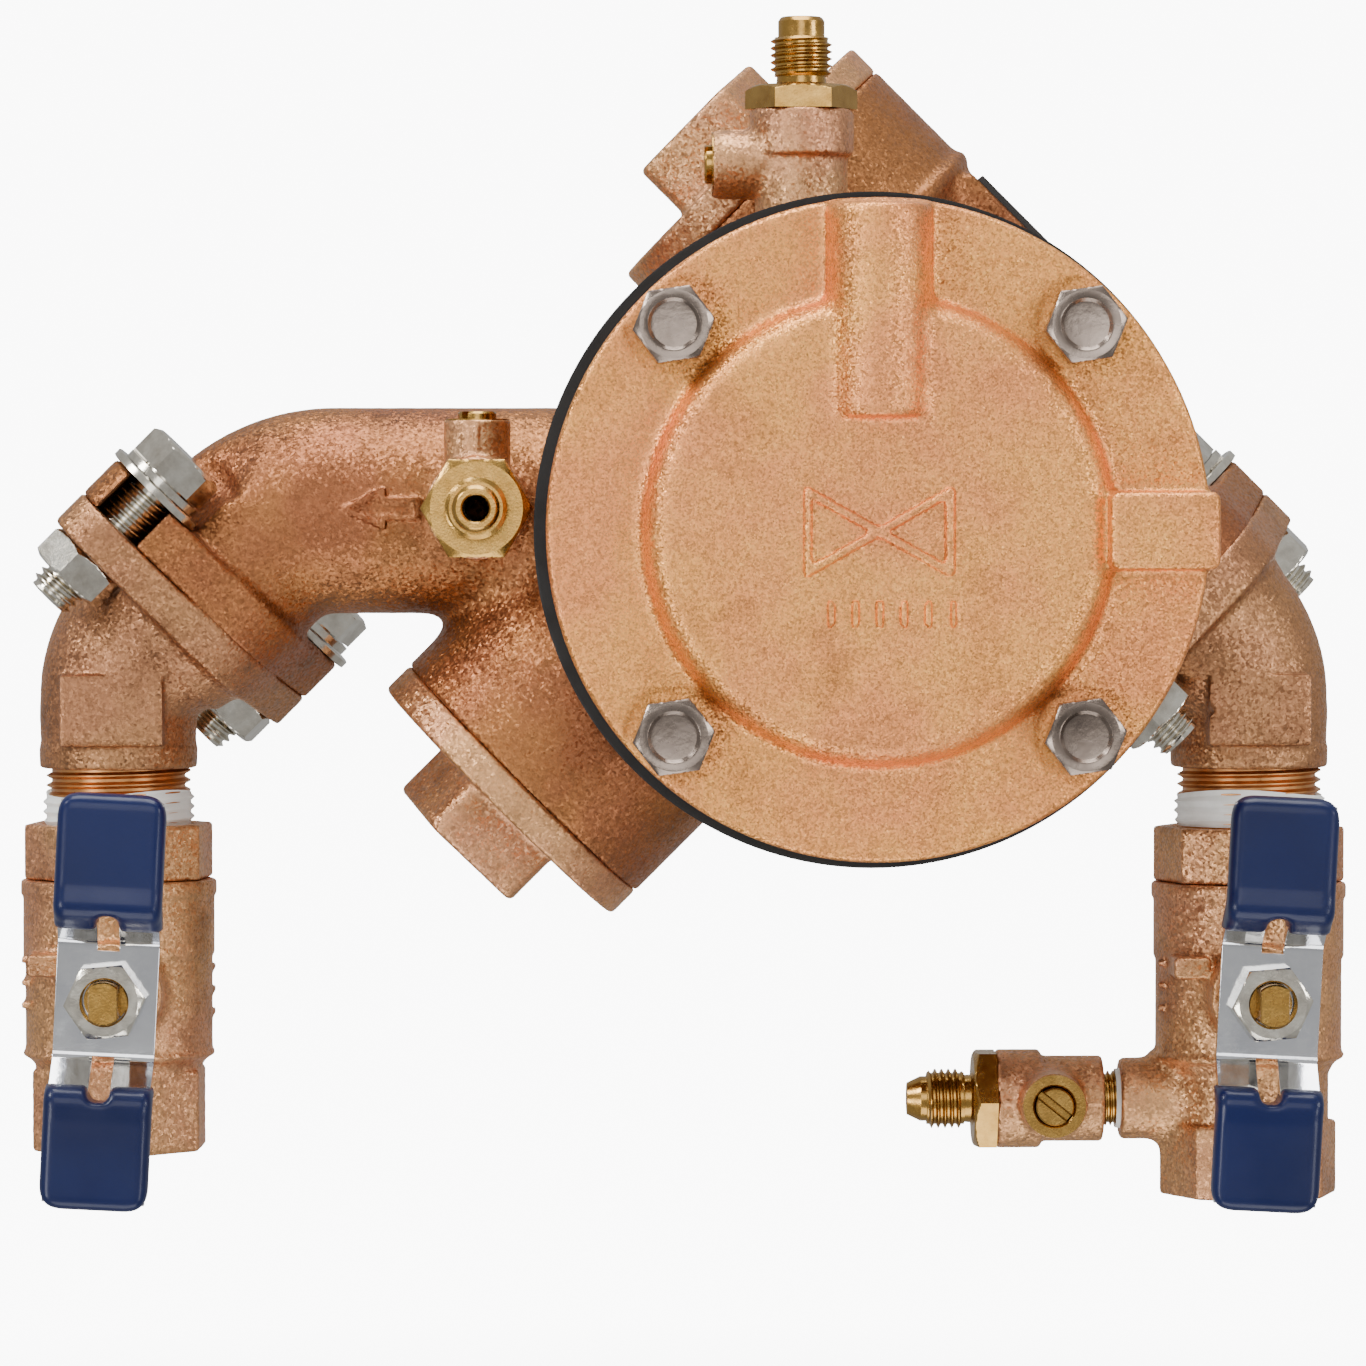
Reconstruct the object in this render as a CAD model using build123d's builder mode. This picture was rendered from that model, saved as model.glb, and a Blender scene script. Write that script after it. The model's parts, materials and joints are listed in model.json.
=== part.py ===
"""Backflow preventer, 3/4 in, reduced-pressure type, as separate pieces in one frame.

Millimetres. X points right, Y away from the viewer, Z up. The origin is the centre of the
inlet port, on the bottom face of the right-hand ball valve. Water comes up the right leg,
through two spring-loaded checks with a relief valve between them, and down the left leg.
"""
import os

from build123d import *

os.makedirs("parts", exist_ok=True)

# Legs, seams and main axes
leg_spacing = 211.3
elbow_corner_z = 97.5
elbow_bottom_z = 80.5
seam_in = 14.4
seam_z = 111.9
bend_corner_x = -180.8
tube_z = 128.0
tube_r = 19.15
tube_bend_r = 24.0
elbow_bend_r = 20.0
crossing_x = -58.3
crossing_z = 155.8
relief_x = -72.95
relief_z = 124.6

# Pipe threads, as plain cylinders at the crest
pipe_thread_r = 13.3
pipe_thread_end_z = 56.0
pipe_bore_r = 10.4
tape_bottom_z = 69.8
tape_top_z = 74.3
port_r = 12.3
port_depth = 15.0

# Unions
bolt_place = 18.5
bolt_r = 4.76
bolt_clear_r = 5.05
union_lobe_r = 9.0
union_waist_r = 20.5
body_flange_t = 9.0
elbow_flange_t = 7.3
flat_washer_r = 10.0
flat_washer_t = 1.6
lock_washer_r = 8.2
lock_washer_t = 2.0
bolt_flats = 14.3
bolt_head_t = 5.8
union_nut_t = 6.4
bolt_tail = 4.5
gasket_in_r = 13.4
gasket_out_r = 17.4
gasket_t = 1.6

# Checks, measured along each check's axis
chamber_r = 29.8
waist_r = 24.5
chamber_bore_r = 20.0
cap_bore_r = 25.5
cap_bore_depth = 20.0
cap_flange_r = 29.7
cap_flange_t = 6.3
cap_square = 23.5
cap_square_h = 11.6
cap_square_turn = -25.3
cap_plug_t = 9.0
guide_r = 9.0
seat_t = 6.0
seat_out_r = 14.5
seat_bore_r = 11.0
seat_lip_r = 13.2
seat_lip_t = 1.5
disc_r = 15.5
disc_t = 3.0
poppet_r = 17.0
poppet_t = 5.0
check_travel = 8.0
check_stem_r = 4.0
running_gap = 0.05
check_1_seat = 40.0
check_1_end = 108.5
check_2_seat = 44.0
check_2_end = 109.8
spring_coil_r = 12.4
spring_wire_r = 1.1

# Relief valve, measured from the mid plane towards the viewer
relief_flange_r = 58.65
relief_flange_back = 50.0
relief_flange_front = 58.0
diaphragm_t = 3.0
diaphragm_r = 59.9
diaphragm_shift = -0.9
cover_rim_t = 6.0
cover_dome_r = 41.0
cover_dome_h = 7.0
cover_wall = 3.2
cover_bolt_ring = 36.2
cover_bolt_r = 3.97
cover_bolt_flats = 12.7
cover_bolt_head_t = 5.2
bowl_r = 44.0
bowl_bore_r = 37.0
relief_seat_r = 12.0
relief_bore_r = 9.0
relief_stem_r = 3.0
plate_r = 28.0
relief_travel = 4.5
spout_y = -33.0
spout_end_z = 74.0
spout_r = 13.0
spout_bore_r = 8.5

# Test cocks, measured from the crossing of the flow axis and the stem axis
cock_back = 10.1
cock_front = 9.9
cock_nipple_r = 5.14
cock_nipple_end = 19.0
cock_boss_end = 13.3
cock_boss_r = 7.6
cock_bore_r = 2.38
flare_thread_r = 5.55
flare_tip = 26.5

# Ball valves, measured from the ball's centre
ball_r = 13.0
ball_bore_r = 9.5
valve_cavity_r = 14.0
valve_thread_r = 15.0
valve_top = 30.4
valve_ring_top = 20.0
valve_stem_r = 4.0
valve_stem_flats = 5.3
handle_mid = 34.0
handle_arm_rise = 9.0
handle_t = 2.0
handle_w = 18.4
handle_tilt = 3.0
grip_t = 6.0
grip_w = 20.1

LOW = (Align.CENTER, Align.CENTER, Align.MIN)
bolt_spots = ((bolt_place, bolt_place), (-bolt_place, -bolt_place))
cover_spots = [(x * cover_bolt_ring, y * cover_bolt_ring) for x in (-1, 1) for y in (-1, 1)]

# Each plane's Z runs along the axis that its pieces are turned about
inlet_seam = Plane(origin=(-seam_in, 0, seam_z), x_dir=(1, 0, 1), z_dir=(-1, 0, 1))
outlet_seam = Plane(origin=(seam_in - leg_spacing, 0, seam_z), x_dir=(-1, 0, 1), z_dir=(1, 0, 1))
check_1 = inlet_seam
check_2 = Plane(origin=(crossing_x, 0, crossing_z), x_dir=(-1, 0, 1), z_dir=(-1, 0, -1))
relief = Plane(origin=(relief_x, 0, relief_z), x_dir=(1, 0, 0), z_dir=(0, -1, 0))
cocks = {
    1: Plane(origin=(-37.6, 0, 17.9), x_dir=(0, -1, 0), z_dir=(-1, 0, 0)),
    2: Plane(origin=(-26.4, 35.3, 123.9), x_dir=(1, 0, 1), z_dir=(0, 1, 0)),
    3: Plane(origin=(-85.6, -40.5, 190.3), x_dir=(-1, 0, 0), z_dir=(0, 0, 1)),
    4: Plane(origin=(-144.0, -35.3, 128.5), x_dir=(0, 0, 1), z_dir=(0, -1, 0)),
}


def write(piece, name):
    """Label a finished piece and write it as its own STEP."""
    piece.part.label = name
    export_step(piece.part, f"parts/{name}.step")


def bar(plane, start, end, radius, mode=Mode.ADD):
    """A round bar or bore along a plane's Z, from one height to another."""
    with Locations(plane.offset(start)):
        Cylinder(radius, end - start, align=LOW, mode=mode)


def taper(plane, start, end, start_r, end_r, mode=Mode.ADD):
    """A cone along a plane's Z, from one height and radius to another."""
    with Locations(plane.offset(start)):
        Cone(start_r, end_r, end - start, align=LOW, mode=mode)


def block(plane, start, end, x0, x1, y0, y1, mode=Mode.ADD):
    """A box in a plane's own directions, from its lowest corner to its highest."""
    with Locations(plane.offset(start)):
        with Locations(((x0 + x1) / 2, (y0 + y1) / 2, 0)):
            Box(x1 - x0, y1 - y0, end - start, align=LOW, mode=mode)


def hexagon(plane, start, end, flats, spots=((0, 0),), turn=0.0, sides=6):
    """Hexagonal or other regular prisms standing at spots on a plane."""
    with BuildSketch(plane.offset(start)) as outline:
        with Locations(*spots):
            RegularPolygon(flats / 2, sides, major_radius=False, rotation=turn)
    extrude(outline.sketch, amount=end - start)


def union_flange(plane, thickness):
    """A two-bolt oval flange, its long axis on the plane's diagonal."""
    with BuildSketch(plane) as outline:
        Circle(union_waist_r)
        with Locations(*bolt_spots):
            Circle(union_lobe_r)
        make_hull()
    extrude(outline.sketch, amount=thickness)


def cock_tapping(plane, bore_end):
    """The tapped hole and the small drilling behind a test cock's boss."""
    bar(plane, -cock_nipple_end - 1.0, -cock_boss_end + 1.0, cock_nipple_r, Mode.SUBTRACT)
    bar(plane, bore_end, -cock_nipple_end, cock_bore_r, Mode.SUBTRACT)


def ring(plane, start, end, inner_r, outer_r):
    """A flat ring about a plane's Z."""
    with BuildSketch(plane.offset(start)) as outline:
        Circle(outer_r)
        Circle(inner_r, mode=Mode.SUBTRACT)
    extrude(outline.sketch, amount=end - start)


def coil(plane, start, end, radius, wire_r, turns):
    """A compression spring between two heights on a plane."""
    low = start + wire_r
    rise = end - start - 2 * wire_r
    helix = plane.offset(low).from_local_coords(Edge.make_helix(rise / turns, rise, radius))
    with BuildSketch(Plane(origin=helix @ 0, z_dir=helix % 0)) as section:
        Circle(wire_r)
    sweep(section.sketch, path=helix)


# ---------------------------------------------------------------- main casting

with BuildPart() as main_body:
    bar(check_1, 0, 60, tube_r)
    bar(check_1, 46, 80, waist_r)
    taper(check_1, 76, 86, waist_r, chamber_r)
    bar(check_1, 86, check_1_end, chamber_r)
    with Locations((crossing_x, 0, crossing_z)):
        Sphere(waist_r + 1.0)
    bar(check_2, 0, 40, waist_r)
    taper(check_2, 32, 44, waist_r, chamber_r)
    bar(check_2, 44, check_2_end, chamber_r)
    with BuildLine():
        FilletPolyline(
            (-95, 0, tube_z), (bend_corner_x, 0, tube_z), outlet_seam.origin, radius=tube_bend_r
        )
    with BuildSketch(Plane(origin=(-95, 0, tube_z), z_dir=(-1, 0, 0))):
        Circle(tube_r)
    sweep()
    # nameplate pad beside the first chamber
    block(check_1, 49, 83, 10, 28, -15, 15)
    # relief bowl, flange and bolt bosses
    taper(relief, 12, 34, 30, bowl_r)
    bar(relief, 34, relief_flange_back, bowl_r)
    bar(relief, relief_flange_back, relief_flange_front, relief_flange_r)
    for spot in cover_spots:
        with Locations(relief.offset(relief_flange_back - 8)):
            with Locations(spot):
                Cylinder(8.5, 8.0, align=LOW)
    # discharge spout
    spout = Plane(origin=(relief_x, spout_y, spout_end_z), z_dir=(0, 0, 1))
    bar(spout, 0, 40, spout_r)
    # bosses for three test cocks
    bar(cocks[2], -35.3, -cock_boss_end, cock_boss_r)
    bar(cocks[3], -40.0, -cock_boss_end, cock_boss_r)
    bar(cocks[4], -35.3, -cock_boss_end, cock_boss_r)
    # union flanges with open slots for the swing-out bolts
    for seam in (inlet_seam, outlet_seam):
        union_flange(seam, body_flange_t)
        for x, y in bolt_spots:
            side = 1 if y > 0 else -1
            reach = sorted((y, y + side * 20))
            block(seam, 0, 32, x - bolt_clear_r, x + bolt_clear_r, *reach, mode=Mode.SUBTRACT)
            with Locations(seam):
                with Locations((x, y, 0)):
                    Cylinder(bolt_clear_r, 32, align=LOW, mode=Mode.SUBTRACT)
            # spot face under the washer
            with Locations(seam.offset(body_flange_t)):
                with Locations((x, y, 0)):
                    Cylinder(flat_washer_r + 0.6, 14, align=LOW, mode=Mode.SUBTRACT)
    # waterways
    bar(check_1, 0, check_1_seat, 12.0, Mode.SUBTRACT)
    bar(check_1, check_1_seat, check_1_seat + seat_t, seat_out_r, Mode.SUBTRACT)
    bar(check_1, check_1_seat + seat_t, check_1_end, chamber_bore_r, Mode.SUBTRACT)
    bar(check_1, check_1_end - cap_bore_depth, check_1_end, cap_bore_r, Mode.SUBTRACT)
    bar(check_2, 0, check_2_seat, 13.0, Mode.SUBTRACT)
    bar(check_2, check_2_seat, check_2_seat + seat_t, seat_out_r, Mode.SUBTRACT)
    bar(check_2, check_2_seat + seat_t, check_2_end, cap_bore_r - 1.0, Mode.SUBTRACT)
    bar(check_2, check_2_end - cap_bore_depth, check_2_end, cap_bore_r, Mode.SUBTRACT)
    with BuildLine():
        FilletPolyline(
            (-110, 0, tube_z), (bend_corner_x, 0, tube_z), outlet_seam.origin, radius=tube_bend_r
        )
    with BuildSketch(Plane(origin=(-110, 0, tube_z), z_dir=(-1, 0, 0))):
        Circle(13.0)
    sweep(mode=Mode.SUBTRACT)
    # relief waterways: zone chamber, seat bore, discharge cavity, stem guide, zone drilling
    bar(relief, 47, relief_flange_front, bowl_bore_r, Mode.SUBTRACT)
    bar(relief, 42, 47, relief_seat_r, Mode.SUBTRACT)
    bar(relief, 28, 42, 14.0, Mode.SUBTRACT)
    bar(relief, 18, 28, relief_stem_r + running_gap, Mode.SUBTRACT)
    bar(spout, 0, 45, spout_bore_r, Mode.SUBTRACT)
    with Locations(relief):
        with Locations((-8, 22, 0)):
            Cylinder(4.5, 48, align=LOW, mode=Mode.SUBTRACT)
        with Locations((0, 50, relief_flange_front - 5)):
            Cylinder(2.5, 5, align=LOW, mode=Mode.SUBTRACT)
    for spot in cover_spots:
        with Locations(relief.offset(relief_flange_back - 6)):
            with Locations(spot):
                Cylinder(cover_bolt_r, 14.0, align=LOW, mode=Mode.SUBTRACT)
    cock_tapping(cocks[2], -30.0)
    cock_tapping(cocks[3], -43.7)
    cock_tapping(cocks[4], -30.0)
    # holes for the nameplate's drive pins
    for along in (52.5, 78.0):
        with Locations(check_1.offset(along)):
            with Locations(Location((24, 0, 0), (0, 90, 0))):
                Cylinder(1.2, 4.0, align=LOW, mode=Mode.SUBTRACT)
write(main_body, "main_body")

with BuildPart() as nameplate:
    block(check_1, 49.5, 81.0, 28.0, 29.2, -14.0, 14.0)
    for along in (52.5, 78.0):
        with Locations(check_1.offset(along)):
            with Locations(Location((26, 0, 0), (0, 90, 0))):
                Cylinder(1.2, 5.0, align=LOW, mode=Mode.SUBTRACT)
write(nameplate, "nameplate")

with BuildPart() as nameplate_pins:
    for along in (52.5, 78.0):
        with Locations(check_1.offset(along)):
            with Locations(Location((24, 0, 0), (0, 90, 0))):
                Cylinder(1.2, 5.2, align=LOW)
            with Locations(Location((29.2, 0, 0), (0, 90, 0))):
                Cone(2.2, 1.4, 1.1, align=LOW)
write(nameplate_pins, "nameplate_pins")

# ---------------------------------------------------------------- elbows and unions


def elbow(name, seam, leg_x, away):
    """A 45-degree elbow: flange at the union, male pipe thread below, wrench pad in front."""
    corner = (leg_x, 0, elbow_corner_z)
    foot = Plane(origin=(leg_x, 0, 0), z_dir=(0, 0, 1))
    with BuildPart() as cast:
        with BuildLine(mode=Mode.PRIVATE) as route:
            FilletPolyline((leg_x, 0, elbow_bottom_z), corner, seam.origin, radius=elbow_bend_r)
        spine = route.wire()
        for u, radius in ((0.0, 14.2), (0.3, 14.7), (0.55, 16.6), (0.8, 18.8), (1.0, 20.0)):
            with BuildSketch(Plane(origin=spine @ u, x_dir=(0, 1, 0), z_dir=spine % u)):
                Circle(radius)
        loft()
        union_flange(seam.offset(-elbow_flange_t), elbow_flange_t)
        pad_x = leg_x + away * 1.45
        block(foot, 83.8, 97.0, pad_x - leg_x - 9.5, pad_x - leg_x + 9.5, -15.9, -4.0)
        bar(foot, pipe_thread_end_z, elbow_bottom_z, pipe_thread_r)
        with Locations(seam.offset(-elbow_flange_t)):
            with Locations(*bolt_spots):
                Cylinder(bolt_clear_r, elbow_flange_t, align=LOW, mode=Mode.SUBTRACT)
        # room for each nut to turn beside the elbow's wall
        with Locations(seam.offset(-elbow_flange_t - 12)):
            with Locations(*bolt_spots):
                Cylinder(9.2, 12, align=LOW, mode=Mode.SUBTRACT)
        with BuildSketch(seam.offset(-gasket_t)):
            Circle(gasket_out_r)
            Circle(gasket_in_r, mode=Mode.SUBTRACT)
        extrude(amount=gasket_t, mode=Mode.SUBTRACT)
        with BuildLine():
            FilletPolyline((leg_x, 0, pipe_thread_end_z), corner, seam.origin, radius=elbow_bend_r)
        with BuildSketch(Plane(origin=(leg_x, 0, pipe_thread_end_z), z_dir=(0, 0, 1))):
            Circle(pipe_bore_r)
        sweep(mode=Mode.SUBTRACT)
    write(cast, name)


elbow("inlet_elbow", inlet_seam, 0.0, 1)
elbow("outlet_elbow", outlet_seam, -leg_spacing, -1)

head_base = body_flange_t + flat_washer_t + lock_washer_t
nut_base = -elbow_flange_t

with BuildPart() as union_gaskets:
    for seam in (inlet_seam, outlet_seam):
        ring(seam, -gasket_t, 0, gasket_in_r, gasket_out_r)
write(union_gaskets, "union_gaskets")

with BuildPart() as union_flat_washers:
    for seam in (inlet_seam, outlet_seam):
        with BuildSketch(seam.offset(body_flange_t)):
            with Locations(*bolt_spots):
                Circle(flat_washer_r)
                Circle(bolt_r, mode=Mode.SUBTRACT)
        extrude(amount=flat_washer_t)
write(union_flat_washers, "union_flat_washers")

with BuildPart() as union_lock_washers:
    for seam in (inlet_seam, outlet_seam):
        with BuildSketch(seam.offset(body_flange_t + flat_washer_t)):
            with Locations(*bolt_spots):
                Circle(lock_washer_r)
                Circle(bolt_r, mode=Mode.SUBTRACT)
        extrude(amount=lock_washer_t)
write(union_lock_washers, "union_lock_washers")

with BuildPart() as union_bolts:
    for seam in (inlet_seam, outlet_seam):
        hexagon(seam, head_base, head_base + bolt_head_t, bolt_flats, bolt_spots, 12)
        with BuildSketch(seam.offset(nut_base - union_nut_t - bolt_tail)):
            with Locations(*bolt_spots):
                Circle(bolt_r)
        extrude(amount=head_base - nut_base + union_nut_t + bolt_tail)
write(union_bolts, "union_bolts")

with BuildPart() as union_nuts:
    for seam in (inlet_seam, outlet_seam):
        hexagon(seam, nut_base - union_nut_t, nut_base, bolt_flats, bolt_spots, 20)
        with BuildSketch(seam.offset(nut_base - union_nut_t)):
            with Locations(*bolt_spots):
                Circle(bolt_r)
        extrude(amount=union_nut_t, mode=Mode.SUBTRACT)
write(union_nuts, "union_nuts")

with BuildPart() as thread_tape:
    for leg_x in (0.0, -leg_spacing):
        ring(
            Plane(origin=(leg_x, 0, 0), z_dir=(0, 0, 1)),
            tape_bottom_z, tape_top_z, pipe_thread_r, pipe_thread_r + 0.7,
        )
write(thread_tape, "thread_tape")

# ---------------------------------------------------------------- checks


def check_set(number, axis, seat, end):
    """Seat, poppet, disc, spring and cap of one check, on its axis."""
    face = seat + seat_t
    plate = face + disc_t
    with BuildPart() as seat_ring:
        ring(axis, seat, face - seat_lip_t, seat_bore_r, seat_out_r)
        ring(axis, face - seat_lip_t, face, seat_bore_r, seat_lip_r)
    write(seat_ring, f"check_{number}_seat")

    with BuildPart() as disc:
        ring(axis, face, plate, check_stem_r, disc_r)
    write(disc, f"check_{number}_disc")

    with BuildPart() as poppet:
        bar(axis, plate, plate + poppet_t, poppet_r)
        ring(axis, face + 0.8, plate, disc_r, poppet_r)
        bar(axis, face, end - check_travel - 6.0, check_stem_r)
        # three guide wings that run inside the seat's bore
        for turn in (0, 120, 240):
            with Locations(axis.offset(seat - 4)):
                with Locations(Rotation(0, 0, turn)):
                    Box(
                        seat_bore_r - 0.4, 1.6, seat_t + 4,
                        align=(Align.MIN, Align.CENTER, Align.MIN),
                    )
    write(poppet, f"check_{number}_poppet")

    with BuildPart() as spring:
        coil(axis, plate + poppet_t, end - cap_plug_t, spring_coil_r, spring_wire_r, 7)
    write(spring, f"check_{number}_spring")

    with BuildPart() as cap:
        bar(axis, end, end + cap_flange_t, cap_flange_r)
        bar(axis, end - cap_plug_t, end, cap_bore_r)
        bar(axis, end - cap_plug_t - 8.0, end - cap_plug_t, guide_r)
        with BuildSketch(axis.offset(end + cap_flange_t)):
            RectangleRounded(cap_square, cap_square, 3.5, rotation=cap_square_turn)
        extrude(amount=cap_square_h)
        guide_end = end - 4.0
        bar(axis, end - cap_plug_t - 8.0, guide_end, check_stem_r + running_gap, Mode.SUBTRACT)
        # groove for the seal ring
        ring_place = end - 4.0
        with BuildSketch(axis.offset(ring_place - 1.3)):
            Circle(cap_bore_r + 1)
            Circle(cap_bore_r - 2.0, mode=Mode.SUBTRACT)
        extrude(amount=2.6, mode=Mode.SUBTRACT)
    write(cap, f"check_{number}_cap")


check_set(1, check_1, check_1_seat, check_1_end)
check_set(2, check_2, check_2_seat, check_2_end)

with BuildPart() as cap_seal_rings:
    for axis, end in ((check_1, check_1_end), (check_2, check_2_end)):
        ring(axis, end - 5.2, end - 2.8, cap_bore_r - 2.0, cap_bore_r)
write(cap_seal_rings, "cap_seal_rings")

# ---------------------------------------------------------------- relief valve

cover_back = relief_flange_front + diaphragm_t
cover_face = cover_back + cover_rim_t
dome_face = cover_face + cover_dome_h

with BuildPart() as relief_cover:
    with BuildSketch(relief.offset(cover_back)):
        Circle(relief_flange_r)
    extrude(amount=cover_rim_t)
    with BuildSketch(relief.offset(cover_face)):
        Circle(cover_dome_r)
    extrude(amount=cover_dome_h)
    dome_edges = relief_cover.edges().filter_by(GeomType.CIRCLE).sort_by(Axis.Y)[0]
    fillet(dome_edges, 4.0)
    # half-round boss over the sensing passage, and the cast lug
    channel = Plane(origin=(relief_x, -cover_face - 3.0, relief_z + 20.0), z_dir=(0, 0, 1))
    bar(channel, 0, 37.3, 8.8)
    block(relief, cover_back, cover_face + 3.0, -8.8, 8.8, 20.0, 57.3)
    block(relief, cover_back, cover_face + 10.0, 40.0, 59.4, -6.8, 6.8)
    with Locations(relief.offset(cover_back)):
        Cylinder(bowl_bore_r, cover_rim_t + cover_dome_h - cover_wall, align=LOW, mode=Mode.SUBTRACT)
    # flatten whatever the boss leaves behind the rim's back face
    block(relief, 40, cover_back, -70, 70, -70, 70, mode=Mode.SUBTRACT)
    bore = Plane(origin=(relief_x, -cover_face - 4.0, relief_z), z_dir=(0, 0, 1))
    bar(bore, 30.0, 52.5, 2.5, Mode.SUBTRACT)
    with Locations(relief.offset(cover_back)):
        with Locations((0, 50, 0)):
            Cylinder(2.5, cover_rim_t + 4.0, align=LOW, mode=Mode.SUBTRACT)
        with Locations(*cover_spots):
            Cylinder(cover_bolt_r, cover_rim_t, align=LOW, mode=Mode.SUBTRACT)
write(relief_cover, "relief_cover")

with BuildPart() as relief_diaphragm:
    with BuildSketch(relief.offset(relief_flange_front)):
        with Locations((diaphragm_shift, 0)):
            Circle(diaphragm_r)
        Circle(relief_stem_r, mode=Mode.SUBTRACT)
        with Locations(*cover_spots):
            Circle(cover_bolt_r, mode=Mode.SUBTRACT)
        with Locations((0, 50)):
            Circle(2.5, mode=Mode.SUBTRACT)
    extrude(amount=diaphragm_t)
write(relief_diaphragm, "relief_diaphragm")

with BuildPart() as relief_cover_bolts:
    hexagon(relief, cover_face, cover_face + cover_bolt_head_t, cover_bolt_flats, cover_spots, 8)
    with BuildSketch(relief.offset(relief_flange_back - 3)):
        with Locations(*cover_spots):
            Circle(cover_bolt_r)
    extrude(amount=cover_face - relief_flange_back + 3)
    # dished top of each head
    with Locations(relief.offset(cover_face + cover_bolt_head_t - 0.8)):
        with Locations(*cover_spots):
            Cone(3.6, 4.4, 0.8, align=LOW, mode=Mode.SUBTRACT)
write(relief_cover_bolts, "relief_cover_bolts")

with BuildPart() as relief_back_plate:
    ring(relief, relief_flange_front - 2.0, relief_flange_front, relief_stem_r, plate_r)
write(relief_back_plate, "relief_back_plate")

with BuildPart() as relief_front_plate:
    ring(relief, cover_back, cover_back + 1.6, relief_stem_r, plate_r)
write(relief_front_plate, "relief_front_plate")

with BuildPart() as relief_stem:
    bar(relief, 20.5, cover_back + 4.4, relief_stem_r)
write(relief_stem, "relief_stem")

with BuildPart() as relief_stem_nut:
    hexagon(relief, cover_back + 1.6, cover_back + 4.0, 10.0)
    bar(relief, cover_back + 1.6, cover_back + 4.0, relief_stem_r, Mode.SUBTRACT)
write(relief_stem_nut, "relief_stem_nut")

with BuildPart() as relief_seat:
    ring(relief, 42.0, 49.0, relief_bore_r, relief_seat_r)
write(relief_seat, "relief_seat")

with BuildPart() as relief_disc:
    ring(relief, 49.0, 51.5, relief_stem_r, 13.0)
write(relief_disc, "relief_disc")

with BuildPart() as relief_disc_holder:
    ring(relief, 51.5, relief_flange_front - 2.0, relief_stem_r, 15.0)
    ring(relief, 49.8, 51.5, 13.0, 15.0)
write(relief_disc_holder, "relief_disc_holder")

with BuildPart() as relief_spring:
    coil(relief, 47.0, relief_flange_front - 2.0, 20.0, 1.0, 2.5)
write(relief_spring, "relief_spring")

# ---------------------------------------------------------------- test cocks

with BuildPart() as test_cock_fittings:
    for cock in cocks.values():
        hexagon(cock, cock_front, cock_front + 4.3, 17.5)
        bar(cock, 6.3, cock_front, 6.2)
        bar(cock, cock_front + 4.3, flare_tip - 1.6, 4.4)
        taper(cock, flare_tip - 1.6, flare_tip, 4.4, 3.0)
        bar(cock, 16.0, 22.6, flare_thread_r)
        bar(cock, 6.3, flare_tip, cock_bore_r, Mode.SUBTRACT)
write(test_cock_fittings, "test_cock_fittings")

with BuildPart() as test_cock_seats:
    for cock in cocks.values():
        for low, high in ((-6.2, -4.4), (4.4, 6.3)):
            ring(cock, low, high, cock_bore_r, 6.2)
        with Locations(cock):
            Sphere(5.52, mode=Mode.SUBTRACT)
write(test_cock_seats, "test_cock_seats")


def test_cock(number, plane):
    """The cast body and the slotted ball plug of one test cock."""
    stem_axis = Plane(origin=plane.origin, x_dir=plane.y_dir, z_dir=plane.x_dir)
    with BuildPart() as body:
        bar(plane, -cock_back, cock_front, 8.0)
        taper(plane, 2.0, 4.0, 8.0, 9.3)
        bar(plane, 4.0, cock_front, 9.3)
        bar(stem_axis, 0, 16.0, 6.0)
        bar(plane, -cock_nipple_end, -cock_back, cock_nipple_r)
        bar(plane, -6.2, cock_front, 6.2, Mode.SUBTRACT)
        bar(plane, -cock_nipple_end, -6.0, cock_bore_r, Mode.SUBTRACT)
        bar(stem_axis, 0, 16.0, 3.35 + running_gap, Mode.SUBTRACT)
    write(body, f"test_cock_{number}_body")

    with BuildPart() as plug:
        with Locations(plane):
            Sphere(5.5)
        bar(stem_axis, 0, 17.4, 3.35)
        bar(plane, -6, 6, cock_bore_r, Mode.SUBTRACT)
        with Locations(stem_axis.offset(16.4)):
            Box(1.1, 8.0, 1.2, rotation=(0, 0, 45), align=LOW, mode=Mode.SUBTRACT)
    write(plug, f"test_cock_{number}_plug")


for cock_number, cock_plane in cocks.items():
    test_cock(cock_number, cock_plane)

# ---------------------------------------------------------------- ball valves

valves = {
    "inlet": {"x": 0.0, "z": 38.6, "foot": -38.6, "hex_top": -24.8, "turn": 4.0},
    "outlet": {"x": -leg_spacing, "z": 39.4, "foot": -30.5, "hex_top": -15.2, "turn": 20.0},
}


def arm_points(low, high):
    """The side view of a T-handle: flat in the middle, stepped up to an arm at each end."""
    rise = handle_arm_rise
    return ((-low, rise), (-18, rise), (-11, 0), (11, 0), (18, rise), (high, rise))


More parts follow.
